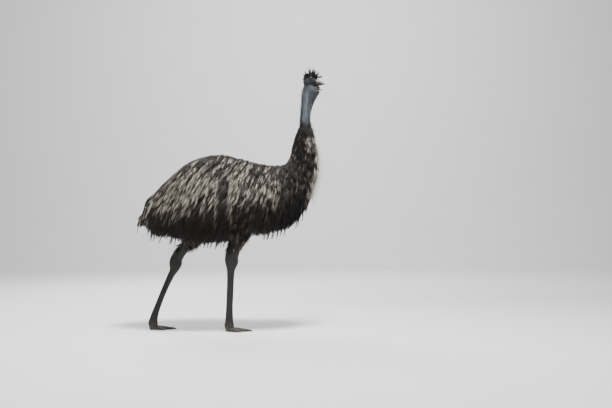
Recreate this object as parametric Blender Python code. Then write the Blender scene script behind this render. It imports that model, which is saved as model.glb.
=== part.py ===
"""A life-size emu in mid-stride, as a still model with no joints.

Metres, +Z up. The bird faces +X, its left side is +Y, and the floor is z = 0. The origin is the
middle of the base of the bounding box. The body, from the tail to the throat, is one run of
sections that is parted with thin cuts. The plumage is built as locks on a solid core.
"""

import math
import random

import bmesh
import bpy
import numpy as np
from mathutils import Matrix, Quaternion, Vector
from mathutils.bvhtree import BVHTree

MM = 0.001
GAP = 0.3 * MM  # between two pieces that touch
WELD = 0.005 * MM
PART = "emu"

# Body sections from the tail to the throat, in millimetres: the top edge (x, z), the bottom edge
# (x, z), half the width, and the depth of the coat. They give the outline out to the feather tips.
BODY_SECTIONS = (
    (-600, 716, -596, 672, 12, 16),
    (-562, 762, -543, 659, 32, 40),
    (-537, 838, -498, 608, 85, 60),
    (-485, 880, -434, 595, 130, 70),
    (-421, 941, -364, 595, 165, 70),
    (-338, 1018, -281, 570, 200, 65),
    (-249, 1082, -197, 560, 220, 65),
    (-69, 1128, -31, 563, 230, 65),
    (123, 1088, 123, 605, 222, 65),
    (206, 1067, 199, 611, 210, 60),
    (270, 1061, 283, 630, 195, 60),
    (315, 1062, 366, 650, 175, 60),
    (347, 1067, 436, 710, 150, 55),
    (369, 1082, 487, 781, 125, 50),
    (385, 1101, 526, 870, 105, 45),
    (396, 1126, 555, 966, 90, 40),
    (402, 1162, 566, 1062, 78, 36),
    (411, 1203, 562, 1146, 68, 30),
    (421, 1248, 545, 1222, 58, 22),
    (432, 1286, 526, 1283, 48, 12),
    (444, 1376, 512, 1386, 34, 4),
    (453, 1469, 536, 1469, 33, 3),
    (455, 1510, 555, 1504, 34, 3),
    (461, 1545, 566, 1528, 34, 3),
    (472, 1583, 538, 1560, 29, 3),
)
TAIL_TIP = 0.0  # places along the sections, counted from 0
TAIL_END = 3.6
TORSO_END = 15.0
NECK_BEND = 19.2
NECK_END = 21.7
THROAT_END = len(BODY_SECTIONS) - 1
SIDES_OF_BODY = ("right", "left")
SAG = 0.8  # under 1 puts the widest place of a trunk section below its middle
FULLNESS = 0.8  # under 1 makes a trunk section fuller at the sides
ROUND_FROM = 15  # from this section on the neck is a plain oval
NECK_DRIFT = -25 * MM  # the head is carried a little to the right of the body
TWIST = (19.5, 23.0)  # places over which the neck turns to follow the head

# The head is laid out from the point midway between the eyes, with its own +X along the bill. Its
# rows give x, top, bottom and half width, in millimetres.
HEAD_AT = Vector((520, -25, 1612)) * MM
HEAD_YAW = math.radians(-20)
SKULL = (
    (-55, -2, -32, 13),
    (-49, 11, -46, 22),
    (-37, 20, -57, 28),
    (-19, 26, -58, 31),
    (-2, 27, -45, 31.5),
    (13, 20, -38, 29),
    (24, 9, -38, 26),
    (33, 0, -38, 23.5),
)
UPPER_BILL = (
    (33, -1, -38, 23),
    (45, -9, -38.5, 20),
    (57, -17, -39, 17),
    (69, -24.5, -40, 13.5),
    (79, -31, -41.5, 9.5),
    (86, -37, -43.5, 5.5),
    (89.5, -42, -45, 1.6),
)
GAPE = Vector((-4, 0, -38)) * MM  # the corner of the mouth, on the mid-plane
JAW_OPEN = math.radians(24)
JAW = (  # from the corner of the mouth, along the opened jaw
    (-24, 6, -16, 20),
    (-8, 2, -19, 25),
    (8, 0, -20, 25),
    (24, 0, -20, 22),
    (38, 0, -19, 18.5),
)
LOWER_BILL = (
    (38, -0.3, -18.5, 18),
    (50, -0.8, -16, 15),
    (62, -1.5, -13, 11.5),
    (74, -2.5, -10, 7.5),
    (81, -3.5, -8, 4),
    (84, -5, -7.5, 1.8),
)
CROWN_TUFTS = 16
CROWN_SPAN = ((-44, 32), 15)  # x range and half width of the crown, in millimetres
CROWN_SIZE = (11, 3.6)  # a tuft's width and thickness
CROWN_LENGTHS = (38, 66)
CROWN_RISE = (0.6, 1.7)  # how far the tufts stand up, against lying along the crown
CROWN_STATIONS = ((0.0, 0.8, 1.0, 0.0), (0.4, 1.0, 1.0, 0.0), (0.75, 0.7, 0.7, 0.0))
FRONT_TUFTS = ((25, -8), (24, 9))  # x and y of the tufts that stand over the bill
TONGUE_AT = (20, 0, -3)  # along the jaw
TONGUE_SIZES = Vector((26, 12, 9)) * MM
EYE_RADIUS = 13.5 * MM
EYE_AT = (0, 22.5, 0)
LIDS_AT = (0, 21.5, 0)
LID_SIZES = Vector((16.5, 13.2, 18)) * MM
BROW_AT = (0, 18, 12.5)
BROW_SIZES = Vector((25, 11, 7)) * MM
EAR_AT = (-27, -46)
EAR_SIZES = Vector((4, 7, 5.5)) * MM
NOSTRIL_AT = (58, -27)
NOSTRIL_SIZES = Vector((8, 3.5, 3)) * MM

# Leg rows from the top down, in millimetres: x, y, z, half the depth fore and aft, half the width.
RIGHT_LEG = (
    (76, -105, 706, 90, 58),
    (63, -95, 630, 63, 50),
    (47, -86, 586, 46, 41),
    (29, -79, 541, 43, 37),
    (18, -74, 503, 43, 34),
    (11, -70, 472, 42, 31),
    (10, -66, 440, 41, 28),
    (5, -60, 395, 26, 20),
    (3, -54, 350, 22, 16),
    (-1, -42, 260, 21, 15),
    (-6, -30, 165, 21, 15.5),
    (-8, -22, 102, 23, 18),
    (-9, -18, 64, 26, 22),
    (-9, -16, 36, 30, 24),
    (-9, -16, -6, 29, 22),
)
LEFT_LEG = (
    (-223, 105, 690, 88, 58),
    (-262, 100, 606, 72, 49),
    (-283, 98, 560, 56, 42),
    (-312, 95, 528, 47, 38),
    (-344, 92, 489, 45, 35),
    (-362, 90, 456, 41, 31),
    (-369, 88, 420, 41, 28),
    (-380, 87, 382, 29, 21),
    (-402, 85, 340, 23, 17),
    (-440, 81, 255, 20, 15),
    (-470, 79, 180, 20, 15.5),
    (-493, 77, 118, 22, 18),
    (-506, 75, 72, 26, 22),
    (-511, 75, 38, 30, 24),
    (-510, 75, -6, 29, 22),
)
HOCK = 6  # places along the leg rows
ANKLE = 12
SOLE = 14
FEET = {  # middle of the ankle on the floor, and the way the middle toe points
    "right": (Vector((-9, -16, 0)) * MM, math.radians(-3)),
    "left": (Vector((-510, 75, 0)) * MM, math.radians(4)),
}
MIDDLE_TOE = (  # x from the ankle, top, bottom and half width
    (0, 36, -4, 17),
    (24, 31, -4, 18.5),
    (42, 26, -4, 16.5),
    (58, 25, -4, 18),
    (75, 22, -4, 15.5),
    (91, 20, -4, 16.5),
    (108, 17, -3, 13.5),
    (122, 15, 1, 9.5),
)
SIDE_TOE = (
    (0, 32, -4, 14),
    (22, 28, -4, 15),
    (38, 23, -4, 13.5),
    (52, 20, -4, 14.5),
    (66, 16, -3, 11.5),
    (78, 13, 1, 8),
)
MIDDLE_CLAW = (  # x from the end of the toe
    (0, 14.5, 1.5, 8.5),
    (11, 13, 2, 7),
    (21, 9, 2, 4.5),
    (29, 4.5, 2, 1.2),
)
SIDE_CLAW = (
    (0, 12.5, 1.5, 7),
    (9, 11, 2, 5.5),
    (16, 8, 2, 3.6),
    (22, 4.5, 2, 1),
)
TOE_TURNS = {"middle": 0.0, "inner": 27.0, "outer": -31.0}  # degrees towards the other foot

# The small wing lies along the side of the chest: x, y, z, half the height, half the thickness.
WING_ROWS = (
    (286, 158, 905, 27, 19),
    (255, 171, 868, 30, 20),
    (205, 186, 838, 26, 17),
    (150, 196, 812, 20, 13),
    (105, 200, 794, 11, 8),
)

# Locks of the plumage: place along the body, then in millimetres the distance between roots, the
# width, the length and the thickness.
LOCK_SIZES = (
    (0.5, 56, 52, 120, 13),
    (3.6, 77, 74, 180, 17),
    (7.0, 87, 88, 218, 19),
    (11.0, 80, 80, 192, 17),
    (13.0, 66, 66, 148, 14),
    (15.0, 50, 48, 115, 11),
    (17.0, 43, 39, 90, 9),
    (19.2, 38, 31, 72, 6),
)
TIP_LIFT = 1.35  # how far a tip has risen, where 1 is at the outline less the lock's seat
LOCK_STATIONS = (  # share of the length, of the width, of the thickness, and of the lift
    (0.0, 0.7, 1.0, -0.35),
    (0.34, 1.0, 1.0, 0.5),
    (0.76, 0.8, 0.75, 0.9),
)
CORE_TIP = 0.5
SPARE = 0.05  # how far past its ends, in places, a length is built before it is cut off
CORE_INSET = 0.5  # share of the coat's depth that lies over the core
TOP_COAT = 0.4  # the coat's depth along the parting of the back, as a share of that at the sides
LOCK_SEAT = 0.3  # share of a lock's thickness that its middle keeps below the outline
LOCK_BEND = 0.35  # the most that a lock turns aside, in radians
MARCH = 8  # steps along a lock
SHRINKS = (1.0, 0.85, 0.7, 0.55, 0.4)  # a lock that would cross itself is made shorter
MOST_MISSES = 600  # tries in a row that find no room for a root, after which a length is full
HANG = Vector((-0.15, 0.0, -1.0))  # the way a lock falls where it leaves the body
UNDERSIDE = (0.15, 0.55)  # how far a place faces down, from where locks begin to hang to where all do
HEM_RAGGED = (-12 * MM, 18 * MM)
CORE_OVER_HEM = 34 * MM
CLEAR_OF_LEG = 14 * MM  # from the root of a lock
CLEAR_OF_WING = 10 * MM
PART_WIDTH = 0.55  # how far the feathers of the back fall to either side
LIE_BACK = ((-0.5, 0.75), (-0.25, 0.6), (0.05, 0.42), (0.3, 0.2), (0.5, 0.1))  # x, slope to the rear
SEED = 7

RING_POINTS = 16
LIMB_POINTS = 14
HEAD_POINTS = 16
TOE_POINTS = 10
FORWARD = Vector((1, 0, 0))
UPRIGHT = Vector((0, 0, 1))
STRIDE = 0.05  # share of a row either side, from which a limb's direction is taken


# Collections and objects


def clear_scene():
    for obj in list(bpy.data.objects):
        bpy.data.objects.remove(obj, do_unlink=True)


def new_collection(name, hidden=False):
    made = bpy.data.collections.new(name)
    bpy.context.scene.collection.children.link(made)
    made.hide_render = hidden
    return made


def material(name, colour, roughness, metallic=0.0):
    made = bpy.data.materials.new(name)
    made.use_nodes = True
    shader = made.node_tree.nodes["Principled BSDF"]
    shader.inputs["Base Color"].default_value = (*colour, 1.0)
    shader.inputs["Roughness"].default_value = roughness
    shader.inputs["Metallic"].default_value = metallic
    return made


def new_object(name, mesh, collection):
    obj = bpy.data.objects.new(name, mesh)
    collection.objects.link(obj)
    return obj


def finish_mesh(mesh):
    """Welds what coincides and turns every face outwards."""
    bm = bmesh.new()
    bm.from_mesh(mesh)
    bmesh.ops.remove_doubles(bm, verts=bm.verts, dist=WELD)
    bmesh.ops.recalc_face_normals(bm, faces=bm.faces)
    bm.to_mesh(mesh)
    bm.free()
    mesh.update()


def solid_of(name, points, faces, collection):
    mesh = bpy.data.meshes.new(name)
    mesh.from_pydata(points, [], faces)
    finish_mesh(mesh)
    return new_object(name, mesh, collection)


def loft(name, rings, collection):
    """A closed solid through rings of equally many points, with a flat cap at each end."""
    count = len(rings[0])
    points = [tuple(point) for ring in rings for point in ring]
    faces = [tuple(range(count))[::-1]]
    for level in range(len(rings) - 1):
        for side in range(count):
            following = (side + 1) % count
            low = level * count
            high = low + count
            faces.append((low + side, low + following, high + following))
            faces.append((low + side, high + following, high + side))
    faces.append(tuple(range(len(points) - count, len(points))))
    return solid_of(name, points, faces, collection)


def ball(name, centre, sizes, collection, segments=16, rings=10, turn=None):
    """An ellipsoid with the given half sizes."""
    bm = bmesh.new()
    bmesh.ops.create_uvsphere(bm, u_segments=segments, v_segments=rings, radius=1.0)
    place = Matrix.Translation(centre)
    if turn is not None:
        place = place @ turn
    place = place @ Matrix.Diagonal((*sizes, 1.0))
    bmesh.ops.transform(bm, matrix=place, verts=bm.verts)
    mesh = bpy.data.meshes.new(name)
    bm.to_mesh(mesh)
    bm.free()
    return new_object(name, mesh, collection)


def box(name, low, high, collection):
    bm = bmesh.new()
    bmesh.ops.create_cube(bm, size=1.0)
    low = Vector(low)
    high = Vector(high)
    place = Matrix.Translation((low + high) / 2) @ Matrix.Diagonal((*(high - low), 1.0))
    bmesh.ops.transform(bm, matrix=place, verts=bm.verts)
    mesh = bpy.data.meshes.new(name)
    bm.to_mesh(mesh)
    bm.free()
    return new_object(name, mesh, collection)


def apply_modifiers(obj):
    graph = bpy.context.evaluated_depsgraph_get()
    mesh = bpy.data.meshes.new_from_object(obj.evaluated_get(graph))
    obj.modifiers.clear()
    obj.data = mesh


def keep_largest(obj):
    """Drops every closed surface of the mesh but the largest."""
    bm = bmesh.new()
    bm.from_mesh(obj.data)
    unseen = set(bm.faces)
    bodies = []
    while unseen:
        body = {unseen.pop()}
        edge = list(body)
        while edge:
            face = edge.pop()
            for beside in (other for side in face.edges for other in side.link_faces):
                if beside in unseen:
                    unseen.discard(beside)
                    body.add(beside)
                    edge.append(beside)
        bodies.append(body)
    bodies.sort(key=lambda body: sum(face.calc_area() for face in body))
    loose = [face for body in bodies[:-1] for face in body]
    bmesh.ops.delete(bm, geom=loose, context="FACES")
    bm.to_mesh(obj.data)
    bm.free()


def combine(obj, others, operation, solver="EXACT"):
    """Joins the others to the object, or cuts them from it, and removes them."""
    group = bpy.data.collections.new(obj.name + "_" + operation.lower())
    bpy.context.scene.collection.children.link(group)
    for other in others:
        for owner in list(other.users_collection):
            owner.objects.unlink(other)
        group.objects.link(other)
    modifier = obj.modifiers.new(operation.lower(), "BOOLEAN")
    modifier.operation = operation
    modifier.operand_type = "COLLECTION"
    modifier.collection = group
    modifier.solver = solver
    apply_modifiers(obj)
    for other in others:
        bpy.data.objects.remove(other, do_unlink=True)
    bpy.data.collections.remove(group)
    finish_mesh(obj.data)
    keep_largest(obj)


# Curves and sections


def smooth(rows, place):
    """The row at a place along a smooth curve that passes through the listed rows."""
    rows = np.asarray(rows, float)
    index = int(min(max(math.floor(place), 0), len(rows) - 2))
    share = place - index
    here = rows[index]
    after = rows[index + 1]
    before = rows[index - 1] if index > 0 else 2 * here - after
    beyond = rows[index + 2] if index + 2 < len(rows) else 2 * after - here
    return 0.5 * (
        2 * here
        + (after - before) * share
        + (2 * before - 5 * here + 4 * after - beyond) * share**2
        + (3 * here - before - 3 * after + beyond) * share**3
    )


def ease(low, high, value):
    share = min(max((value - low) / (high - low), 0.0), 1.0)
    return share * share * (3 - 2 * share)


def turned_with_head(point, place):
    """Turns a point of the upper neck about the head, and keeps its distance ahead or behind."""
    turn = HEAD_YAW * ease(*TWIST, place)
    ahead = (point[0] - HEAD_AT.x) / math.cos(turn)
    aside = point[1] - HEAD_AT.y
    x = HEAD_AT.x + ahead * math.cos(turn) - aside * math.sin(turn)
    y = HEAD_AT.y + ahead * math.sin(turn) + aside * math.cos(turn)
    return np.array((x, y, point[2]))


def body_points(place, angles, inset, shift=0.0):
    """Points of one section of the body. Inset is the share of the coat's depth that is left off."""
    top_x, top_z, bottom_x, bottom_z, half, coat = smooth(BODY_SECTIONS, place) * MM
    top = np.array((top_x, 0.0, top_z))
    bottom = np.array((bottom_x, 0.0, bottom_z))
    height = np.linalg.norm(bottom - top)
    down = (bottom - top) / height
    ahead = np.array((-down[2], 0.0, down[0]))
    depth = inset * coat
    neck = ease(ROUND_FROM - 4, ROUND_FROM, place)
    top_depth = depth * (TOP_COAT + (1 - TOP_COAT) * neck)
    sag = SAG + (1 - SAG) * neck
    fullness = FULLNESS + (1 - FULLNESS) * neck
    drift = NECK_DRIFT * ease(ROUND_FROM - 3, THROAT_END - 2, place)
    points = []
    for angle in angles:
        along = top_depth + (height - top_depth - depth) * ((1 - math.cos(angle)) / 2) ** sag
        out = math.copysign(abs(math.sin(angle)) ** fullness, math.sin(angle))
        point = top + down * along + ahead * shift
        point[1] = drift + (half - depth) * out
        points.append(turned_with_head(point, place))
    return points


def body_ring(place, inset, shift=0.0):
    angles = [2 * math.pi * step / RING_POINTS for step in range(RING_POINTS)]
    return body_points(place, angles, inset, shift)


def body_length(name, start, end, rings, inset, collection, shifts=(GAP / 2, -GAP / 2)):
    """A length of the body between two places, its ends drawn back by half a gap."""
    places = [start + (end - start) * step / (rings - 1) for step in range(rings)]
    moves = [shifts[0], *[0.0] * (rings - 2), shifts[1]]
    return loft(name, [body_ring(*pair) for pair in zip(places, [inset] * rings, moves)], collection)


def limb(name, rows, span, collection, grow=0.0, shifts=(0.0, 0.0), reference=FORWARD):
    """An oval limb along rows of x, y, z, half depth and half width, in millimetres.

    Span gives the first and last row. Depth is measured level, towards the reference direction.
    Shifts move the two ends along the limb, and grow is added all round.
    """
    rings = []
    count = span[1] - span[0]
    for level in range(count + 1):
        place = span[0] + level
        x, y, z, deep, wide = smooth(rows, place) * MM
        step = smooth(rows, place + STRIDE) - smooth(rows, place - STRIDE)
        along = Vector(step[:3]).normalized()
        ahead = (reference - along * along.dot(reference)).normalized()
        across = along.cross(ahead)
        deep = deep * ahead.dot(reference) + grow
        wide = wide + grow
        move = shifts[0] if level == 0 else shifts[1] if level == count else 0.0
        centre = Vector((x, y, z)) + along * move
        turns = [2 * math.pi * point / LIMB_POINTS for point in range(LIMB_POINTS)]
        rings.append(
            [centre + ahead * deep * math.cos(turn) + across * wide * math.sin(turn) for turn in turns]
        )
    return loft(name, rings, collection)


# Head and bill


def head_frame():
    return Matrix.Translation(HEAD_AT) @ Matrix.Rotation(HEAD_YAW, 4, "Z")


def jaw_frame():
    return head_frame() @ Matrix.Translation(GAPE) @ Matrix.Rotation(JAW_OPEN, 4, "Y")


def long_form(
    name,
    rows,
    frame,
    collection,
    squared=(0.0, 0.0),
    shifts=(0.0, 0.0),
    grow=0.0,
    points=HEAD_POINTS,
    steps=1,
):
    """A loft along local +X through rows of x, top, bottom and half width, in millimetres.

    Squared, from 0 to 1, flattens the bottom and the top. Shifts move the two ends along +X, and
    grow is added all round.
    """
    places = [step / steps for step in range((len(rows) - 1) * steps + 1)]
    moves = [shifts[0], *[0.0] * (len(places) - 2), shifts[1]]
    rings = []
    for place, move in zip(places, moves):
        x, top, bottom, half = smooth(rows, place) * MM + np.array((0, 1, -1, 1)) * grow
        middle = (top + bottom) / 2
        ring = []
        for step in range(points):
            angle = 2 * math.pi * (step + 0.5) / points
            side = math.cos(angle)
            rise = math.sin(angle)
            power = 1 - 0.75 * squared[1 if rise > 0 else 0]
            rise = math.copysign(abs(rise) ** power, rise)
            ring.append(frame @ Vector((x + move, half * side, middle + (top - middle) * rise)))
        rings.append(ring)
    return loft(name, rings, collection)


def both_sides(point):
    return [Vector((point[0], side * point[1], point[2])) * MM for side in (-1, 1)]


def surface_places(obj, frame, spot):
    """The two places on the object's sides at a spot (x, z) of the frame, in the frame."""
    tree = BVHTree.FromObject(obj, bpy.context.evaluated_depsgraph_get())
    x, z = spot[0] * MM, spot[1] * MM
    found = []
    for side in (-1, 1):
        start = frame @ Vector((x, side * 0.1, z))
        toward = frame.to_3x3() @ Vector((0, -side, 0))
        hit = tree.ray_cast(start, toward)[0]
        found.append(frame.inverted() @ hit)
    return found


def crown_tufts(head, frame, collection):
    """Bent, hair-like tufts that stand up from the crown and over the base of the bill."""
    draw = random.Random(SEED + 1)
    tree = tree_of(head)
    turn = frame.to_3x3()
    (back, front), half = CROWN_SPAN
    spots = [
        (back + (front - back) * (index + 0.5) / CROWN_TUFTS, draw.uniform(-half, half))
        for index in range(CROWN_TUFTS)
    ]
    tufts = []
    for x, y in (*spots, *FRONT_TUFTS):
        root, normal, _, _ = tree.ray_cast(frame @ (Vector((x, y, 100)) * MM), Vector((0, 0, -1)))
        heading = draw.uniform(-1.2, 1.2) if x < FRONT_TUFTS[0][0] else math.pi + draw.uniform(-0.5, 0.5)
        lean = turn @ Vector((-math.cos(heading), math.sin(heading), 0.0))
        way = (normal * draw.uniform(*CROWN_RISE) + lean).normalized()
        bow = turn @ Vector((draw.uniform(-0.5, 0.2), draw.uniform(-0.6, 0.6), draw.uniform(-0.6, 0.3)))
        length = draw.uniform(*CROWN_LENGTHS) * MM
        path = []
        for step in range(MARCH + 1):
            share = step / MARCH
            point = root - (normal * 3 + way * 5) * MM + (way * share + bow * share**2) * length
            path.append((point, normal.cross(way).cross(way).normalized()))
        width, thickness = CROWN_SIZE
        shape = lock_shape(path, width * MM, thickness * MM, CROWN_STATIONS)
        tufts.append(solid_of("tuft", *shape, collection))
    return tufts


def make_head(parts, scratch):
    frame = head_frame()
    turn = Matrix.Rotation(HEAD_YAW, 4, "Z")
    head = long_form("head", SKULL, frame, parts, (0.35, 0.0), (0.0, -GAP / 2), steps=2)
    additions = [
        long_form("jaw", JAW, jaw_frame(), scratch, (0.0, 0.7), (0.0, -GAP / 2)),
        body_length("throat", NECK_END, THROAT_END, 6, 0.0, scratch, (GAP / 2, 0.0)),
    ]
    for name, places, sizes in (("lids", LIDS_AT, LID_SIZES), ("brow", BROW_AT, BROW_SIZES)):
        additions += [ball(name, frame @ at, sizes, scratch, 14, 8, turn) for at in both_sides(places)]
    reach = jaw_frame() @ Matrix.Translation(Vector(TONGUE_AT) * MM)
    lie = Matrix.Rotation(HEAD_YAW, 4, "Z") @ Matrix.Rotation(JAW_OPEN, 4, "Y")
    additions.append(ball("tongue", reach.translation, TONGUE_SIZES, scratch, 12, 8, lie))
    additions += crown_tufts(head, frame, scratch)
    combine(head, additions, "UNION")
    socket = Vector((1, 1, 1)) * (EYE_RADIUS + GAP)
    cutters = [ball("socket", frame @ at, socket, scratch, 16, 10, turn) for at in both_sides(EYE_AT)]
    cutters += [
        ball("ear", frame @ at, EAR_SIZES, scratch, 8, 6, turn)
        for at in surface_places(head, frame, EAR_AT)
    ]
    cutters.append(
        long_form("chin", LOWER_BILL, jaw_frame(), scratch, (0.0, 0.7), (0.0, GAP), grow=GAP)
    )
    combine(head, cutters, "DIFFERENCE")
    return head


def make_bill(parts, scratch):
    frame = head_frame()
    turn = Matrix.Rotation(HEAD_YAW, 4, "Z")
    upper = long_form("bill_upper", UPPER_BILL, frame, parts, (0.7, 0.0), (GAP / 2, 0.0))
    nostrils = [
        ball("nostril", frame @ at, NOSTRIL_SIZES, scratch, 8, 6, turn)
        for at in surface_places(upper, frame, NOSTRIL_AT)
    ]
    combine(upper, nostrils, "DIFFERENCE")
    lower = long_form("bill_lower", LOWER_BILL, jaw_frame(), parts, (0.0, 0.7), (GAP, 0.0))
    return [upper, lower]


def make_eyes(parts):
    size = Vector((1, 1, 1)) * EYE_RADIUS
    turn = Matrix.Rotation(HEAD_YAW, 4, "Z")
    places = [head_frame() @ at for at in both_sides(EYE_AT)]
    return [ball("eye_" + side, at, size, parts, 16, 10, turn) for side, at in zip(SIDES_OF_BODY, places)]


# Legs and feet


def make_foot(side, rows, parts, scratch):
    at, yaw = FEET[side]
    inward = 1 if side == "right" else -1
    foot = limb("foot_" + side, rows, (ANKLE, SOLE), parts, shifts=(GAP / 2, 0.0))
    toes = []
    claws = []
    for name, degrees in TOE_TURNS.items():
        frame = Matrix.Translation(at) @ Matrix.Rotation(yaw + inward * math.radians(degrees), 4, "Z")
        toe_rows, claw_rows = (MIDDLE_TOE, MIDDLE_CLAW) if name == "middle" else (SIDE_TOE, SIDE_CLAW)
        toes.append(
            long_form("toe", toe_rows, frame, scratch, (0.5, 0.0), (0.0, -GAP / 2), points=TOE_POINTS)
        )
        reach = frame @ Matrix.Translation((toe_rows[-1][0] * MM, 0, 0))
        label = f"claw_{side}_{name}"
        claws.append(
            long_form(label, claw_rows, reach, parts, (0.3, 0.0), (GAP / 2, 0.0), points=TOE_POINTS)
        )
    combine(foot, toes, "UNION")
    combine(foot, [box("floor", (-2, -2, -1), (2, 2, 0), scratch)], "DIFFERENCE")
    return foot, claws


def make_leg(side, parts, scratch):
    rows = RIGHT_LEG if side == "right" else LEFT_LEG
    shank = limb("shank_" + side, rows, (0, HOCK), parts, shifts=(0.0, -GAP / 2))
    tarsus = limb("tarsus_" + side, rows, (HOCK, ANKLE), parts, shifts=(GAP / 2, -GAP / 2))
    foot, claws = make_foot(side, rows, parts, scratch)
    socket = limb("socket", rows, (0, HOCK), scratch, grow=GAP, shifts=(-GAP, 0.0))
    return shank, tarsus, foot, claws, socket


def make_wing(side, parts, scratch):
    sign = -1 if side == "right" else 1
    rows = [(x, sign * y, z, high, thick) for x, y, z, high, thick in WING_ROWS]
    span = (0, len(rows) - 1)
    wing = limb("wing_" + side, rows, span, parts, reference=UPRIGHT)
    socket = limb("socket", rows, span, scratch, grow=GAP, shifts=(-GAP, GAP), reference=UPRIGHT)
    return wing, socket


# Plumage


def lie_of_feathers(point, normal):
    """The way the feathers lie at a point of the body: down and to the rear, parted along the back."""
    back = np.interp(point.x, *zip(*LIE_BACK))
    side = math.copysign(PART_WIDTH * max(normal.z, 0.0), point.y)
    way = Vector((-back, side, -1.0))
    return (way - normal * way.dot(normal)).normalized()


def hem_height(x):
    """Height of the tips of the lowest feathers."""
    rows = BODY_SECTIONS[1 : int(TORSO_END) + 1]
    return np.interp(x, [row[2] * MM for row in rows], [row[3] * MM for row in rows])


def lock_lift(share):
    """How far a lock has risen from the core towards the outline, by the share of its length."""
    shares = [row[0] for row in LOCK_STATIONS] + [1.0]
    return np.interp(share, shares, [row[3] for row in LOCK_STATIONS] + [TIP_LIFT])


def lock_path(core, outline, root, length, seat, bend, hem):
    """Places along the middle of a lock, and the normals of the core beside them.

    Seat is how far the middle of the lock stays below the outline, and hem is how far its tip may
    hang from the height of the hem.
    """
    near, normal, _, _ = core.find_nearest(root)
    lift = outline.find_nearest(near)[3] - seat
    point = near + normal * lift * lock_lift(0.0)
    path = [(point.copy(), normal.copy())]
    for step in range(1, MARCH + 1):
        share = step / MARCH
        flow = lie_of_feathers(near, normal)
        flow.rotate(Quaternion(normal, bend * share))
        point = point + flow.lerp(HANG, ease(*UNDERSIDE, -normal.z)).normalized() * length / MARCH
        near, normal, _, _ = core.find_nearest(point)
        height = (point - near).dot(normal)
        lift = outline.find_nearest(near)[3] - seat
        free = ease(*UNDERSIDE, -normal.z)
        point += normal * (lift * lock_lift(share) - height) * (1 - free)
        path.append((point.copy(), normal.copy()))
    floor = hem_height(point.x) + hem
    base = floor + CORE_OVER_HEM
    if point.z < floor:
        squeeze = (base - floor) / (base - point.z)
        for place, _ in path:
            if place.z < base:
                place.z = base - (base - place.z) * squeeze
    return path


def lock_shape(path, width, thickness, stations=LOCK_STATIONS):
    """Points and faces of a flat, tapered lock of four-sided rings with a pointed tip."""
    points = []
    spine = [place for place, _ in path]
    for share, wide, thick, _ in stations:
        at = share * MARCH
        index = int(at)
        part = at - index
        centre = spine[index].lerp(spine[min(index + 1, MARCH)], part)
        normal = path[index][1]
        along = (spine[min(index + 1, MARCH)] - spine[max(index - 1, 0)]).normalized()
        out = (normal - along * along.dot(normal)).normalized()
        across = along.cross(out)
        side = across * width * wide / 2
        rise = out * thickness * thick / 2
        points += [centre - side, centre + rise, centre + side, centre - rise]
    tip = len(points)
    points.append(spine[-1])
    faces = [(3, 2, 1, 0)]
    for low in range(0, tip - 4, 4):
        for side in range(4):
            after = (side + 1) % 4
            faces.append((low + side, low + after, low + 4 + after))
            faces.append((low + side, low + 4 + after, low + 4 + side))
    faces += [(tip - 4 + side, tip - 4 + (side + 1) % 4, tip) for side in range(4)]
    return points, faces


def crosses_itself(points, faces):
    tree = BVHTree.FromPolygons(points, faces)
    return any(not set(faces[one]) & set(faces[other]) for one, other in tree.overlap(tree))


def scatter_roots(draw, start, end, tree, kept_clear):
    """Roots spread evenly over a length of the body, as far apart as the sizes there say."""
    roots = []
    misses = 0
    while misses < MOST_MISSES:
        place = draw.uniform(start, end)
        angle = draw.uniform(0, 2 * math.pi)
        point = Vector(body_points(place, [angle], CORE_INSET)[0])
        near = tree.find_nearest(point)[0]
        apart = np.interp(place, [row[0] for row in LOCK_SIZES], [row[1] for row in LOCK_SIZES]) * MM
        blocked = any(body.find_nearest(near)[3] < clear for body, clear in kept_clear)
        if blocked or any((near - root).length < apart for _, root in roots):
            misses += 1
            continue
        misses = 0
        roots.append((place, near))
    return roots


def make_locks(draw, start, end, core, outline, kept_clear, collection):
    locks = []
    for place, root in scatter_roots(draw, start, end, core, kept_clear):
        _, width, length, thickness = [
            np.interp(place, [row[0] for row in LOCK_SIZES], [row[size] for row in LOCK_SIZES]) * MM
            for size in (1, 2, 3, 4)
        ]
        size = draw.uniform(0.85, 1.15)
        bend = draw.uniform(-LOCK_BEND, LOCK_BEND)
        hem = draw.uniform(*HEM_RAGGED)
        for shrink in SHRINKS:
            long = length * size * shrink
            path = lock_path(core, outline, root, long, thickness * LOCK_SEAT, bend * shrink, hem)
            shape = lock_shape(path, width * size, thickness)
            if not crosses_itself(*shape):
                locks.append(solid_of("lock", *shape, collection))
                break
    return locks


def beyond(name, place, ahead, collection):
    """A block that covers all of the body ahead of, or behind, the section at a place."""
    top_x, top_z, bottom_x, bottom_z = smooth(BODY_SECTIONS, place)[:4] * MM
    down = Vector((bottom_x - top_x, 0, bottom_z - top_z)).normalized()
    across = Vector((0, 1, 0))
    way = down.cross(across) * (1 if ahead else -1)
    middle = Vector((top_x + bottom_x, 0, top_z + bottom_z)) / 2
    block = box(name, (-1, -1, 0), (1, 1, 2), collection)
    turn = Matrix((across.cross(way), across, way)).transposed().to_4x4()
    block.data.transform(Matrix.Translation(middle - way * GAP / 2) @ turn)
    return block


def tree_of(obj):
    return BVHTree.FromObject(obj, bpy.context.evaluated_depsgraph_get())


def leg_and_wing_trees(scratch):
    """Search trees of what the locks' roots keep clear of, each with the distance to keep."""
    guides = []
    for rows in (RIGHT_LEG, LEFT_LEG):
        guides.append((limb("guide", rows, (0, HOCK), scratch), CLEAR_OF_LEG))
    for sign in (-1, 1):
        rows = [(x, sign * y, z, high, thick) for x, y, z, high, thick in WING_ROWS]
        guide = limb("guide", rows, (0, len(rows) - 1), scratch, reference=UPRIGHT)
        guides.append((guide, CLEAR_OF_WING))
    trees = [(tree_of(obj), clear) for obj, clear in guides]
    for obj, _ in guides:
        bpy.data.objects.remove(obj, do_unlink=True)
    return trees


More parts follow.
